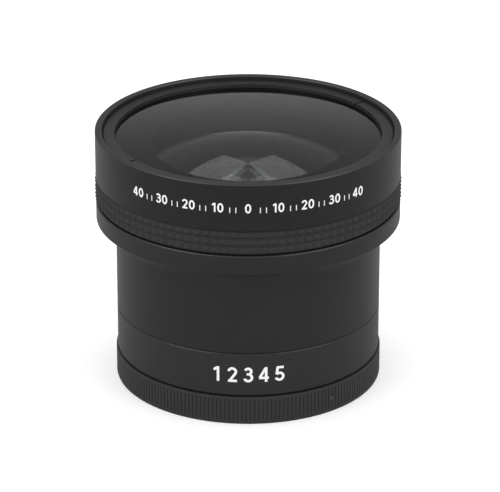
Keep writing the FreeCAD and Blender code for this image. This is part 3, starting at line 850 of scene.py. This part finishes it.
@dataclass
class RearCap(SubAssembly):
    """Moulded cap with fine upright ribs, a thread inside and a shallow recess below."""

    floor: float = 2.0
    floor_steps: int = 6
    recess: float = 27.0
    recess_depth: float = 0.5
    recess_rounding: float = 0.12
    land: float = 0.6
    lip: float = 0.75
    foot_rounding: float = 0.2
    edge_rounding: float = 0.22
    rib_count: int = 202
    groove_width: float = 0.3
    groove_flank: float = 0.06
    groove_depth: float = 0.16
    groove_end: float = 0.12
    column_shares: Sequence[float] = (0.6, 1.0, 1.35)
    rib_foot: float = 0.9
    rib_top: float = 6.2
    stitch_ratio: int = 4
    gate_radius: float = 1.6
    gate_depth: float = 0.25
    gate_slope: float = 0.2
    gate_rounding: float = 0.05
    pointer_angle_deg: float = -52.0
    pointer_height: float = 3.65
    pointer_size: float = 0.85
    pointer_stroke: float = 0.4
    pointer_sink: float = 0.14
    pointer_rise: float = 0.056
    pointer_taper: float = 0.92

    def groove(self, angle: Array, radius: Array, height: Array) -> Walls:
        """Cuts the grooves between the ribs.

        The depth is a trapezium across each groove, in the arc length from its middle, times a
        ramp at the grooves' lower and upper ends.

        Args:
            angle: Angle of each grid point.
            radius: Its radius.
            height: Its height.

        Returns:
            The grooved radius, and the height as it was.
        """
        pitch = 2 * math.pi / self.rib_count
        across = np.abs((angle / pitch + 0.5) % 1.0 - 0.5) * pitch * radius
        share = np.clip((self.groove_width / 2 - across) / self.groove_flank, 0.0, 1.0)
        ends = np.minimum(height - self.rib_foot, self.rib_top - height) / self.groove_end
        on_wall = radius > room("rear_cap").outer - NEAR
        return radius - self.groove_depth * share * np.clip(ends, 0.0, 1.0) * on_wall, height

    def rib_angles(self, outer: float) -> Array:
        """Sets eight columns a rib, gathered where the groove's flanks turn.

        Args:
            outer: The cap's radius.

        Returns:
            The column angles.
        """
        pitch = 2 * math.pi / self.rib_count
        turns = self.groove_width / 2 / (pitch * outer) * np.array(self.column_shares)
        shares = np.concatenate([[0.0], turns, [0.5], 1 - turns[::-1]])
        return ((np.arange(self.rib_count)[:, None] + shares) * pitch).ravel()

    def build(self) -> None:
        """Makes the cap: a fine ribbed grid outside, stitched to a coarser grid inside and below."""
        _, height, outer = room("rear_cap")
        wall, end = self.female_wall, self.groove_end
        thread = ScrewThread(wall, self.floor + self.soft_edge, height - self.chamfer)
        skin = Outline(
            (self.recess + self.land, 0.0), (outer, 0.0, self.foot_rounding), (outer, self.rib_foot),
            (outer, self.rib_foot + end), (outer, self.rib_top - end), (outer, self.rib_top),
            (outer, height, self.edge_rounding), (wall + self.lip, height),
        )
        inside = Outline((wall + self.chamfer, height), (wall, thread.high))
        inside.ladder(wall, thread.low, thread.steps).line((wall - self.soft_edge, self.floor))
        inside.ladder(0.0, self.floor, self.floor_steps)
        gate = self.recess_depth + self.gate_depth
        below = Outline(
            (0.0, gate), (self.gate_radius, gate, self.soft_edge),
            (self.gate_radius + self.gate_slope, self.recess_depth, self.gate_rounding),
            (self.recess, self.recess_depth, self.recess_rounding), (self.recess, 0.0),
        )
        fine = self.rib_angles(outer)
        coarse = fine[:: self.stitch_ratio]
        grids = [
            turned_grid(skin.points(closed=False), fine, self.groove),
            turned_grid(inside.points(closed=False), coarse, thread.relief),
            turned_grid(below.points(closed=False), coarse),
        ]
        self.fix(stitched_piece("cap_moulding", grids, self.stitch_ratio), "rear_cap", MOULDED_PLASTIC)
        self.add_pointer(outer)

    def add_pointer(self, outer: float) -> None:
        """Adds the small moulded pointer between the ribs: a chevron of two short ridges.

        Args:
            outer: The cap's radius.
        """
        half = self.pointer_size / 2
        legs = np.array([[-half, -half], [0.0, half], [half, -half]])
        ring = np.vstack([legs, (legs - [0.0, self.pointer_stroke])[::-1]])
        layers = ((ring, -self.pointer_sink), (ring * self.pointer_taper, self.pointer_rise))
        flat = np.vstack([np.column_stack([corners, np.full(len(ring), off)]) for corners, off in layers])
        wrapped = wrap_round(flat, outer, math.radians(self.pointer_angle_deg), self.pointer_height)
        caps = [np.array([[6, 11, 10, 7], [7, 10, 9, 8]]), np.array([[0, 1, 4, 5], [1, 2, 3, 4]])]
        sides = np.array([[k, k + 6, (k + 1) % 6 + 6, (k + 1) % 6] for k in range(6)])
        piece = build_mesh("cap_pointer", wrapped, [*caps, sides])
        # The pointer's pale colour is a painted highlight.
        self.add(piece, "rear_cap", POINTER_PAINTED_HIGHLIGHT)


PEN_STEPS = 6
BOWL_POINTS = 29


def straight(start: Point, end: Point) -> Array:
    """A straight pen path from start to end, in steps short enough to follow a round wall."""
    return np.linspace(start, end, PEN_STEPS + 1)


def bowl(centre: Point, radii: Point, first_deg: float, last_deg: float) -> Array:
    """A round pen path: centre + radii * (cos a, sin a), with a from the first angle to the last."""
    turn = np.radians(np.linspace(first_deg, last_deg, BOWL_POINTS))
    return np.array(centre) + np.array(radii) * np.column_stack([np.cos(turn), np.sin(turn)])


class Figure(NamedTuple):
    """A plain figure one unit tall: how wide it is, and the middle lines of its strokes."""

    wide: float
    paths: Sequence[Array]


FIGURES = {
    "0": Figure(0.62, [bowl((0.31, 0.5), (0.235, 0.425), 0, 360)]),
    "1": Figure(0.4, [straight((0.29, 0.0), (0.29, 1.0)), straight((0.02, 0.76), (0.24, 0.93))]),
    "2": Figure(0.6, [
        bowl((0.3, 0.7), (0.225, 0.225), 172, -35),
        straight((0.484, 0.571), (0.13, 0.07)),
        straight((0.03, 0.075), (0.59, 0.075)),
    ]),
    "3": Figure(0.58, [
        bowl((0.29, 0.735), (0.19, 0.19), 160, -90),
        bowl((0.29, 0.31), (0.235, 0.235), 90, -162),
        straight((0.2, 0.545), (0.3, 0.545)),
    ]),
    "4": Figure(0.62, [
        straight((0.44, 0.0), (0.44, 1.0)),
        straight((0.41, 0.94), (0.045, 0.3)),
        straight((0.0, 0.275), (0.61, 0.275)),
    ]),
    "5": Figure(0.6, [
        straight((0.11, 0.925), (0.55, 0.925)),
        straight((0.165, 0.93), (0.11, 0.46)),
        bowl((0.29, 0.31), (0.235, 0.235), 140, -160),
    ]),
}


@dataclass
class Figures:
    """A row of plain figures, filled with white, laid round a cylinder."""

    radius: float
    height: float
    tall: float
    pen: float
    spacing: float = 0.16
    stand_off: float = 0.02
    sink: float = 0.03

    FACING_DEG = -90.0

    def stroke(self, path: Array, pen: float) -> Stroke:
        """Carries the pen's rectangular section along a path.

        The rails lie half the pen's width to each side of the path, along its normal, and each
        rail has a point below the wall and one that stands off it.

        Args:
            path: x and y of the middle line in millimetres.
            pen: The stroke's width.

        Returns:
            The flat vertices, and arrays of faces.
        """
        ahead = np.gradient(path, axis=0)
        closed = np.allclose(path[0], path[-1])
        if closed:
            ahead[[0, -1]] = path[1] - path[-2]
        normal = np.column_stack([-ahead[:, 1], ahead[:, 0]]) / np.linalg.norm(ahead, axis=1)[:, None]
        left, right = path + normal * pen / 2, path - normal * pen / 2
        rails = np.stack([left, right, right, left], axis=1)
        depth = np.broadcast_to([-self.sink, -self.sink, self.stand_off, self.stand_off], rails.shape[:2])
        points = np.concatenate([rails, depth[..., None]], axis=2).reshape(-1, 3)
        numbers = np.arange(len(points)).reshape(-1, 4)
        if closed:
            numbers[-1] = numbers[0]
        beside = np.roll(numbers, -1, axis=1)
        sides = np.stack([numbers[:-1], beside[:-1], beside[1:], numbers[1:]], axis=-1).reshape(-1, 4)
        ends = [] if closed else [numbers[:1, ::-1], numbers[-1:]]
        return points, [sides, *ends]

    def written(self, words: str) -> list[Stroke]:
        """Writes a row of figures.

        Args:
            words: The figures.

        Returns:
            Their strokes, with the row's middle at x = 0.
        """
        advance = np.cumsum([0.0] + [FIGURES[figure].wide + self.spacing for figure in words])
        start = -(advance[-1] - self.spacing) / 2
        strokes = []
        for figure, along in zip(words, advance):
            shift = np.array([start + along, 0.0])
            paths = [(path + shift) * self.tall for path in FIGURES[figure].paths]
            strokes.extend(self.stroke(path, self.pen) for path in paths)
        return strokes

    def lay(self, name: str, shapes: Sequence[tuple[float, Sequence[Stroke]]]) -> Piece:
        """Lays shapes round the cylinder as one mesh.

        Args:
            name: The object's name.
            shapes: Pairs of an angle in degrees from the front and the strokes that stand there.

        Returns:
            The new object.
        """
        vertices, groups, start = [], [], 0
        for angle_deg, strokes in shapes:
            turn = math.radians(self.FACING_DEG + angle_deg)
            for flat, faces in strokes:
                vertices.append(wrap_round(flat, self.radius, turn, self.height))
                groups.extend(face + start for face in faces)
                start += len(flat)
        return build_mesh(name, np.vstack(vertices), groups)


@dataclass
class CloseUpRing(SubAssembly):
    """Close-up ring: male thread below, glass and its slotted ring inside, female thread above."""

    tube: float = 26.9
    bore: float = 27.75
    shoulder: float = 7.05
    socket_floor: float = 13.72
    lens_edge: float = 1.5
    lens_rounding: float = 0.12
    lens_curve: float = 90.0
    retainer_width: float = 1.5
    figures: str = "12345"
    figure_tall: float = 3.7
    figure_foot: float = 10.55
    figure_span_deg: float = 27.0
    figure_pen: float = 0.6

    def build(self) -> None:
        """Makes the ring, its glass, its retaining ring and its figures."""
        self.build_ring()
        self.build_glass()
        self.turn_ring("close_up_retainer", "macro_retaining_ring", self.retainer_width)
        self.build_figures()

    def build_ring(self) -> None:
        """Turns the ring with both of its threads."""
        low, high, outer = room("macro_ring")
        seat = room("macro_lens").low
        outline, male = self.threaded_foot(self.tube, low, self.shoulder)
        female = ScrewThread(self.female_wall, self.socket_floor, high - self.chamfer)
        outline.line(
            (outer - self.chamfer, self.shoulder, self.edge),
            (outer, self.shoulder + self.chamfer, self.edge),
            (outer, high - self.chamfer, self.edge), (outer - self.chamfer, high, self.edge),
            (self.female_wall + self.chamfer, high, self.edge), (self.female_wall, female.high),
        )
        outline.ladder(self.female_wall, female.low, female.steps)
        outline.line((self.bore, self.socket_floor), (self.bore, seat), (self.tube, seat))
        # The top chamfer gets the painted highlight.
        self.turn(
            "close_up_ring", "macro_ring", outline, PALE_ANODISED_AND_PAINTED_LIGHT, CHAMFER_PAINTED_HIGHLIGHT,
            cuts=[male, female], chosen=self.on_chamfer(outer, high),
        )

    def build_glass(self) -> None:
        """Turns the plano-convex glass with its edge lacquered black."""
        low, high, outer = room("macro_lens")
        outline = Outline((0.0, low), (outer, low, self.lens_rounding), (outer, low + self.lens_edge))
        outline.curve(0.0, high, self.lens_curve, Bend.LEFT, steps=40)
        chosen = self.lacquered(outer)
        self.turn("close_up_glass", "macro_lens", outline, CROWN_GLASS, EDGE_LACQUER, chosen=chosen)

    def build_figures(self) -> None:
        """Lays five bold figures on the front of the ring."""
        row = Figures(room("macro_ring").outer, self.figure_foot, self.figure_tall, self.figure_pen)
        angles = np.linspace(-0.5, 0.5, len(self.figures)) * self.figure_span_deg
        shapes = [(float(angle), row.written(figure)) for angle, figure in zip(angles, self.figures)]
        self.add(row.lay("close_up_figures", shapes), "macro_ring", FILLED_ENAMEL)


@dataclass
class RearBarrel(SubAssembly):
    """Rear barrel: male thread, straight wall, cove under the flange, and the spigot above it."""

    thread_length: float = 3.5
    tube: float = 26.6
    wall: float = 31.0
    gap: float = 0.2
    gap_depth: float = 0.8
    cove: float = 4.3
    cove_lead: float = 0.5
    flange_foot: float = 39.46
    flange_edge: float = 0.15
    spigot_rounding: float = 0.2
    bore: float = 28.2
    lip: float = 24.4
    lip_low: float = 18.8
    lip_high: float = 20.0

    def build(self) -> None:
        """Turns the barrel."""
        low, high, outer = room("rear_barrel")
        wall, cove_foot = self.wall, self.flange_foot - self.cove
        shoulder = low + self.thread_length
        gap_top = shoulder + self.gap
        flange_top = room("front_barrel").low
        outline, male = self.threaded_foot(self.tube, low, shoulder)
        outline.line(
            (wall - self.gap_depth, shoulder), (wall - self.gap_depth, gap_top), (wall - self.edge, gap_top),
            (wall, gap_top + self.edge), (wall, cove_foot - self.cove_lead), (wall, cove_foot),
        )
        outline.curve(wall + self.cove, self.flange_foot, self.cove, Bend.RIGHT)
        outline.line(
            (outer, self.flange_foot, self.flange_edge), (outer, flange_top - self.chamfer, self.edge),
            (outer - self.chamfer, flange_top, self.edge), (wall, flange_top),
            (wall, high, self.spigot_rounding), (self.bore, high, self.edge), (self.bore, self.lip_high),
            (self.lip, self.lip_high, self.edge), (self.lip, self.lip_low, self.edge),
            (self.tube, self.lip_low),
        )
        # The flange's top chamfer gets the painted highlight.
        self.turn(
            "rear_barrel_turning", "rear_barrel", outline, BLACK_ANODISED, CHAMFER_PAINTED_HIGHLIGHT,
            cuts=[male], chosen=self.on_chamfer(outer, flange_top),
        )


@dataclass
class FrontBarrel(SubAssembly):
    """Front barrel with its grip, its seal, its grub screws and the ring that holds the glass."""

    socket: float = 31.08
    socket_top: float = 49.61
    grip_seat: float = 34.5
    groove_top: float = 50.01
    groove_edge: float = 0.15
    thread_wall: float = 33.75
    thread_foot: float = 57.91
    relief_width: float = 0.25
    relief_depth: float = 0.5
    glass_bore: float = 32.65
    glass_seat: float = 51.21
    seat_bore: float = 28.6
    grip_inner: float = 34.55
    grip_backing: float = 0.3
    grip_valley: float = 35.05
    grip_rows: int = 3
    grip_pitch: float = 1.88
    grip_columns: int = 104
    grip_grid: int = 12
    grip_flat: float = 0.16
    grip_cut: float = 0.55
    grip_softness: float = 0.05
    retainer_inner: float = 30.95
    retainer_lip: float = 0.9
    retainer_drop: float = 0.2
    retainer_skirt: float = 32.75
    retainer_flare: float = 0.1
    retainer_run_out: float = 0.1
    slot_angle_deg: float = 35.0
    slot_width: float = 0.6
    slot_depth: float = 0.6
    scale_tall: float = 2.2
    scale_foot: float = 54.5
    scale_step_deg: float = 11.0
    scale_figures: Sequence[str] = ("40", "30", "20", "10", "0", "10", "20", "30", "40")
    scale_pen: float = 0.37
    tick_shares: Sequence[float] = (0.4, 0.6)
    tick_width: float = 0.2
    tick_tall: float = 1.3

    def build(self) -> None:
        """Makes the pieces of the front barrel."""
        self.build_barrel()
        self.build_grip()
        self.build_retainer()
        self.build_scale()
        self.dress("grub_screws", BLACK_OXIDE)
        self.dress("front_seal", SEAL_RUBBER)

    def build_barrel(self) -> None:
        """Turns the barrel with its front thread."""
        low, high, outer = room("front_barrel")
        thread_wall, chamfer, edge = self.thread_wall, self.chamfer, self.edge
        bore = thread_wall + self.relief_width
        relief_foot = room("front_retaining_ring").high - self.relief_depth
        female = ScrewThread(thread_wall, self.thread_foot, relief_foot)
        outline = Outline(
            (self.socket, low), (self.grip_seat, low, edge), (self.grip_seat, self.groove_top),
            (outer, self.groove_top, self.groove_edge), (outer, high - chamfer, edge),
            (outer - chamfer, high, edge), (bore + chamfer, high, edge), (bore, high - chamfer),
            (bore, relief_foot), (thread_wall, relief_foot),
        )
        outline.ladder(thread_wall, female.low, female.steps)
        outline.line(
            (self.glass_bore, self.thread_foot), (self.glass_bore, self.glass_seat),
            (self.seat_bore, self.glass_seat, edge), (self.seat_bore, self.socket_top, edge),
            (self.socket, self.socket_top),
        )
        outside, inside = self.on_chamfer(outer, high), self.on_chamfer(bore, high, side=1)

        def chosen(out: Array, up: Array) -> Array:
            """Gives 1 to both chamfers, for the painted highlight, and 2 to what lies inside the outer wall,
            for the paler copy that paints light on it.
            """
            return np.where(outside(out, up) | inside(out, up), 1, 2 * (out < outer - chamfer))

        # The chamfers get the painted highlight, and the inside gets the paler copy as painted light.
        finishes = (DEEP_ANODISED, CHAMFER_PAINTED_HIGHLIGHT, PALE_ANODISED_AND_PAINTED_LIGHT)
        self.turn("front_barrel_turning", "front_barrel", outline, *finishes, cuts=[female], chosen=chosen)

    def pyramids(self, angle: Array, radius: Array, height: Array) -> Walls:
        """Raises the pyramids of the grip.

        A ridge rises from the valley to the crest and back over each row's pitch, a V is cut
        between columns, and the surface is the softened lower of the two:
        low - softness * log(sum of exp(-(value - low) / softness)).

        Args:
            angle: Angle of each grid point.
            radius: Its radius.
            height: Its height.

        Returns:
            The raised radius, and the height as it was.
        """
        _, high, crest = room("grip_ring")
        first = high - self.grip_pitch * self.grip_rows
        row = np.abs(((height - first) / self.grip_pitch) % 1.0 - 0.5) * self.grip_pitch
        half_flat = self.grip_flat / 2
        slope = (crest - self.grip_valley) / (self.grip_pitch / 2 - half_flat)
        ridge = crest - np.clip(row - half_flat, 0.0, None) * slope
        pitch = 2 * math.pi / self.grip_columns
        column = np.abs((angle / pitch) % 1.0 - 0.5) * pitch * crest
        vee_width = pitch * crest / 2 - half_flat
        vee = crest - np.clip(column - half_flat, 0.0, None) * self.grip_cut / vee_width
        lower = np.minimum(ridge, vee)
        spread = np.exp(-(ridge - lower) / self.grip_softness) + np.exp(-(vee - lower) / self.grip_softness)
        raised = lower - self.grip_softness * np.log(spread)
        backing = self.grip_inner + self.grip_backing
        on_wall = (radius > backing) & (height > first + NEAR) & (height < high - NEAR)
        return np.where(on_wall, np.maximum(raised, backing), radius), height

    def build_grip(self) -> None:
        """Moulds the grip ring, with as many columns as rows of the grid to a pyramid."""
        low, high, _ = room("grip_ring")
        outline = Outline((self.grip_inner, low), (self.grip_valley, low))
        outline.ladder(self.grip_valley, high, self.grip_grid * self.grip_rows).line((self.grip_inner, high))
        angles = even_angles(self.grip_columns * self.grip_grid)
        self.fix(turned_piece("grip_moulding", outline, angles, self.pyramids), "grip_ring", GRIP_RUBBER)

    def build_retainer(self) -> None:
        """Turns the slotted ring that screws down on the front glass."""
        node = "front_retaining_ring"
        low, high, outer = room(node)
        high -= self.retainer_drop
        lip, inner, skirt = high - self.retainer_lip, self.retainer_inner, self.retainer_skirt
        thread = ScrewThread(outer, low, high - self.groove_edge, self.retainer_run_out)
        outline = Outline((inner, lip, self.edge), (skirt, lip), (skirt, low), (outer, low))
        outline.ladder(outer, thread.high, thread.steps)
        outline.line((outer - self.groove_edge, high), (inner + self.retainer_flare, high, self.edge))
        slots = SpannerSlots(self.slot_angle_deg, self.slot_width, high - self.slot_depth)
        # The retainer's paler finish is painted light on its top.
        self.turn("front_glass_retainer", node, outline, PALE_ANODISED_AND_PAINTED_LIGHT, cuts=[thread, slots])

    def build_scale(self) -> None:
        """Lays the plain scale of figures and graduation lines on the front of the barrel."""
        row = Figures(room("front_barrel").outer, self.scale_foot, self.scale_tall, self.scale_pen)
        last = len(self.scale_figures) - 1
        tick = row.stroke(straight((0.0, 0.0), (0.0, self.tick_tall)), self.tick_width)
        shapes = []
        for place, figure in enumerate(self.scale_figures):
            middle = (place - last // 2) * self.scale_step_deg
            shapes.append((middle, row.written(figure)))
            if place < last:
                shapes.extend((middle + self.scale_step_deg * step, [tick]) for step in self.tick_shares)
        self.add(row.lay("front_scale", shapes), "front_barrel", FILLED_ENAMEL)


@dataclass
class FrontGlass(SubAssembly):
    """Front glass: a shallow curve outside, a wide dome inside and lacquered edges."""

    dome: float = 22.53
    dome_depth: float = 4.32
    pilot: float = 27.8
    pilot_bevel: float = 0.08
    step: float = 52.02
    bevel: float = 0.15
    edge_top: float = 59.131
    crown_drop: float = 0.2
    front_curve: float = 320.0

    def build(self) -> None:
        """Turns the glass and lacquers all but its two curves."""
        low, high, outer = room("front_element")
        outline = Outline(
            (self.dome, low), (self.pilot, low, self.pilot_bevel), (self.pilot, self.step),
            (outer, self.step, self.bevel), (outer, self.edge_top),
        )
        outline.curve(0.0, high - self.crown_drop, self.front_curve, Bend.LEFT, steps=48)
        outline.hollow(self.dome_depth, steps=64)

        def chosen(out: Array, up: Array) -> Array:
            """Gives 1 to the edges and the flat foot."""
            return ((out > self.dome) | (up < low + NEAR)) & (up < self.edge_top)

        self.turn("front_glass_element", "front_element", outline, CROWN_GLASS, EDGE_LACQUER, chosen=chosen)


@dataclass
class RearGroup(SubAssembly):
    """The lens cell and what it carries, with the baffle above it."""

    doublet_bore: float = 25.55
    shoulder: float = 24.65
    tower: float = 21.4
    tower_bore: float = 19.55
    tower_rounding: float = 0.2
    web_low: float = 31.0
    web_high: float = 33.0
    web_hole: float = 17.0
    seat: float = 30.0
    lock_width: float = 6.52
    upper_width: float = 1.3
    lower_width: float = 2.1
    spacer_width: float = 1.9
    stop_hole: float = 12.0
    second_opening: float = 17.3
    second_depth: float = 9.1
    second_curve: float = 45.0
    second_edge_top: float = 41.3
    doublet_curve: float = 90.0
    baffle_wall: float = 0.8
    baffle_inner: float = 26.6
    baffle_top: float = 22.0

    def build(self) -> None:
        """Makes the rings, the cell, the glasses and the baffle."""
        self.build_cell()
        self.turn_ring("cell_lock_ring_turning", "cell_lock_ring", self.lock_width)
        self.turn_ring("second_retaining_ring_turning", "second_retaining_ring", self.upper_width)
        self.turn_ring("rear_retaining_ring_turning", "rear_retaining_ring", self.lower_width, upward=False)
        self.turn_ring("spacer_turning", "spacer_ring", self.spacer_width, slotted=False)
        self.build_stop()
        self.build_second_glass()
        self.build_doublet()
        self.build_baffle()

    def build_cell(self) -> None:
        """Turns the cell: wide bore below, a web, and a tower above."""
        low, high, outer = room("lens_cell")
        soft = self.soft_edge
        outline = Outline(
            (self.doublet_bore, low, soft), (outer, low, soft), (outer, self.web_high, soft),
            (self.tower, self.web_high), (self.tower, high, self.tower_rounding), (self.tower_bore, high),
            (self.tower_bore, self.web_high), (self.web_hole, self.web_high), (self.web_hole, self.web_low),
            (self.shoulder, self.web_low), (self.shoulder, self.seat), (self.doublet_bore, self.seat),
        )
        self.turn("lens_cell_turning", "lens_cell", outline, MATT_ANODISED)

    def build_stop(self) -> None:
        """Turns the thin stop, with its hole bevelled upward."""
        low, high, outer = room("aperture_stop")
        outline = Outline((self.stop_hole, low), (outer, low), (outer, high))
        outline.line((self.stop_hole + high - low, high))
        self.turn("stop_disc", "aperture_stop", outline, MATT_ANODISED)

    def build_second_glass(self) -> None:
        """Turns the second glass: convex above, hollow below."""
        low, high, outer = room("second_element")
        opening, edge_top = self.second_opening, self.second_edge_top
        outline = Outline((opening, low), (outer, low), (outer, edge_top))
        outline.curve(0.0, high, self.second_curve, Bend.LEFT, steps=40)
        outline.hollow(self.second_depth, steps=48)

        def chosen(out: Array, up: Array) -> Array:
            """Gives 1 to the edge."""
            return (out > opening) & (up < edge_top)

        self.turn("second_glass", "second_element", outline, CROWN_GLASS, EDGE_LACQUER, chosen=chosen)

    def build_doublet(self) -> None:
        """Turns the two cemented glasses."""
        curve = self.doublet_curve
        low, high, outer = room("doublet_front")
        sag = curve - math.sqrt(curve**2 - outer**2)
        upper = Outline((0.0, low)).curve(outer, low + sag, curve, Bend.LEFT)
        upper.line((outer, high - sag)).curve(0.0, high, curve, Bend.LEFT)
        low, high, outer = room("doublet_rear")
        sag = curve - math.sqrt(curve**2 - outer**2)
        lower = Outline((0.0, low), (outer, low, self.soft_edge), (outer, high))
        lower.curve(0.0, high - sag, curve, Bend.RIGHT)
        finishes, chosen = (CROWN_GLASS, EDGE_LACQUER), self.lacquered(outer)
        self.turn("doublet_upper_glass", "doublet_front", upper, *finishes, chosen=chosen)
        self.turn("doublet_lower_glass", "doublet_rear", lower, *finishes, chosen=chosen)

    def build_baffle(self) -> None:
        """Turns the blackened cone under the front glass."""
        low, high, outer = room("light_baffle")
        wall, soft = self.baffle_wall, self.soft_edge
        outline = Outline(
            (self.baffle_inner, low), (outer, low, soft), (outer, low + wall, soft),
            (self.baffle_top + wall, high, soft), (self.baffle_top, high, soft),
            (self.baffle_inner, low + wall),
        )
        self.turn("baffle_cone", "light_baffle", outline, MATT_ANODISED)


@dataclass(frozen=True)
class Softbox:
    """A long soft studio lamp; its place and the ways it lies and faces are those of the right side."""

    name: str
    side: Side
    watts: float
    place: tuple[float, float, float] = (238.0, -81.0, 412.0)
    size: tuple[float, float] = (237.0, 1000.0)
    along: tuple[float, float, float] = (0.305, -0.754, -0.582)
    facing: tuple[float, float, float] = (-0.649, 0.282, -0.706)

    def on_side(self, way: tuple[float, float, float]) -> Vector:
        """Mirrors a place or direction to the lamp's side."""
        return Vector((way[0] * self.side.value, *way[1:]))

    def build(self) -> None:
        """Adds the lamp: its local Y runs along it and its local -Z is the way it faces."""
        lamp = bpy.data.lights.new(self.name, "AREA")
        lamp.shape = "RECTANGLE"
        lamp.size, lamp.size_y = (side * MM for side in self.size)
        lamp.energy = self.watts
        holder = bpy.data.objects.new(self.name, lamp)
        bpy.context.scene.collection.objects.link(holder)
        holder.location = self.on_side(self.place) * MM
        back = -self.on_side(self.facing).normalized()
        along = self.on_side(self.along).normalized()
        holder.rotation_euler = Matrix((along.cross(back), along, back)).transposed().to_euler()
        holder.visible_camera = False


@dataclass
class Studio:
    """The pale floor, the soft light and the photograph's camera."""

    elevation_deg: float = 23.459
    distance: float = 743.74
    focal_px: float = 3156.8
    image_width_px: float = 500.0
    sensor: float = 36.0
    clip_end: float = 20.0
    target: tuple[float, float, float] = (0.42, 0.0, 31.139)
    floor_half: float = 3000.0
    floor_drop: float = 0.02
    floor_grain: float = 40.0
    floor_colours: Sequence[str] = ("#bababa", "#bebebd")
    seen_colours: Sequence[str] = ("#efefef", "#f2f2f1")
    floor_glow: float = 0.17
    ambient: float = 0.98
    mirrored: Sequence[Point] = (
        (-0.2, 0.9), (0.06, 0.8), (0.2, 0.49), (0.4, 0.31), (0.6, 0.24), (1.0, 0.2),
    )
    back_from: float = 0.93
    back_full: float = 0.98
    side_grey: float = 0.18
    side_low: float = 0.2
    side_high: float = 0.4
    lamps: Sequence[Softbox] = (
        Softbox("left_softbox", Side.LEFT, watts=1.08),
        Softbox("right_softbox", Side.RIGHT, watts=1.02),
    )

    def build(self) -> None:
        """Makes the camera, the floor, the lamps and the world."""
        self.add_camera()
        self.add_floor()
        self.add_world()
        for lamp in self.lamps:
            lamp.build()
        bpy.context.scene.view_settings.view_transform = "Standard"

    def add_camera(self) -> None:
        """Sets the camera where the photograph was taken."""
        lens = bpy.data.cameras.new("photograph_camera")
        lens.sensor_width = self.sensor
        lens.lens = self.focal_px / self.image_width_px * self.sensor
        lens.clip_end = self.clip_end
        lens.dof.use_dof = False
        camera = bpy.data.objects.new("photograph_camera", lens)
        bpy.context.scene.collection.objects.link(camera)
        tilt = math.radians(self.elevation_deg)
        away = np.array([0.0, -math.cos(tilt), math.sin(tilt)])
        camera.location = (np.array(self.target) + away * self.distance) * MM
        camera.rotation_euler = Vector(-away).to_track_quat("-Z", "Y").to_euler()
        bpy.context.scene.camera = camera

    def add_floor(self) -> None:
        """Lays the floor: pale grey paper, lifted to white for the camera but for the shadow."""
        corners = np.array([[-1.0, -1.0, 0.0], [1.0, -1.0, 0.0], [1.0, 1.0, 0.0], [-1.0, 1.0, 0.0]])
        corners = corners * self.floor_half - [0.0, 0.0, self.floor_drop]
        floor = build_mesh("floor", corners, [np.array([[0, 1, 2, 3]])])
        material, tree = new_material("pale_floor_paper")
        place = add_node(tree, "TexCoord").outputs["Object"]
        grain = add_node(tree, "TexNoise", {"Scale": per_mm(self.floor_grain)}, {"Vector": place})
        paper, white = (
            add_node(tree, "BsdfDiffuse", links={"Color": blended(tree, grain, *colours)})
            for colours in (self.floor_colours, self.seen_colours)
        )
        glow = add_node(tree, "Emission", {"Strength": self.floor_glow})
        lifted = add_node(tree, "AddShader", links={0: white, 1: glow})
        seen = add_node(tree, "LightPath").outputs["Is Camera Ray"]
        shader = add_node(tree, "MixShader", links={0: seen, 1: paper, 2: lifted})
        add_node(tree, "OutputMaterial", links={"Surface": shader})
        floor.data.materials.append(material)

    def add_world(self) -> None:
        """Lights the room evenly, white to the camera and a soft grey sweep to gloss and glass."""
        world = bpy.data.worlds.new("studio")
        bpy.context.scene.world = world
        world.use_nodes = True
        tree = world.node_tree
        tree.nodes.clear()
        ray = add_node(tree, "LightPath").outputs
        way = add_node(tree, "TexCoord").outputs["Generated"]
        parts = add_node(tree, "SeparateXYZ", links={"Vector": way}).outputs
        lift = add_node(tree, "MapRange", {"From Min": -1.0, "From Max": 1.0}, {"Value": parts["Z"]})
        sweep = add_node(tree, "ValToRGB", links={"Fac": lift})
        ramp = sweep.color_ramp
        while len(ramp.elements) < len(self.mirrored):
            ramp.elements.new(0.5)
        for element, (height, _) in zip(ramp.elements, self.mirrored):
            element.position = (height + 1) / 2
        for element, (_, grey) in zip(ramp.elements, self.mirrored):
            element.color = (grey, grey, grey, 1.0)
        back, above = (
            add_node(tree, "MapRange", span, {"Value": parts[axis]}, interpolation_type="SMOOTHSTEP")
            for axis, span in (
                ("Y", {"From Min": self.back_from, "From Max": self.back_full, "To Min": self.side_grey}),
                ("Z", {"From Min": self.side_low, "From Max": self.side_high}),
            )
        )
        limit = add_node(tree, "Math", links={0: above, 1: back}, operation="MAXIMUM")
        held = add_node(tree, "Math", links={0: sweep, 1: limit}, operation="MINIMUM")
        mirrored = add_node(tree, "Background", links={"Color": held})
        even = add_node(tree, "Background", {"Strength": self.ambient, "Color": WHITE})
        white = add_node(tree, "Background", {"Strength": 1.0, "Color": WHITE})
        not_soft = {0: ray["Is Glossy Ray"], 1: ray["Is Transmission Ray"]}
        sharp = add_node(tree, "Math", links=not_soft, operation="MAXIMUM")
        soft = add_node(tree, "MixShader", links={0: sharp, 1: even, 2: mirrored})
        seen = add_node(tree, "MixShader", links={0: ray["Is Camera Ray"], 1: soft, 2: white})
        add_node(tree, "OutputWorld", links={"Surface": seen})


def main() -> None:
    """Builds the studio and every sub-assembly."""
    logging.basicConfig(level=logging.INFO, format="%(message)s")
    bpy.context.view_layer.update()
    Studio().build()
    for assembly in (RearCap, CloseUpRing, RearBarrel, FrontBarrel, FrontGlass, RearGroup):
        assembly().build()


if __name__ == "__main__":
    main()
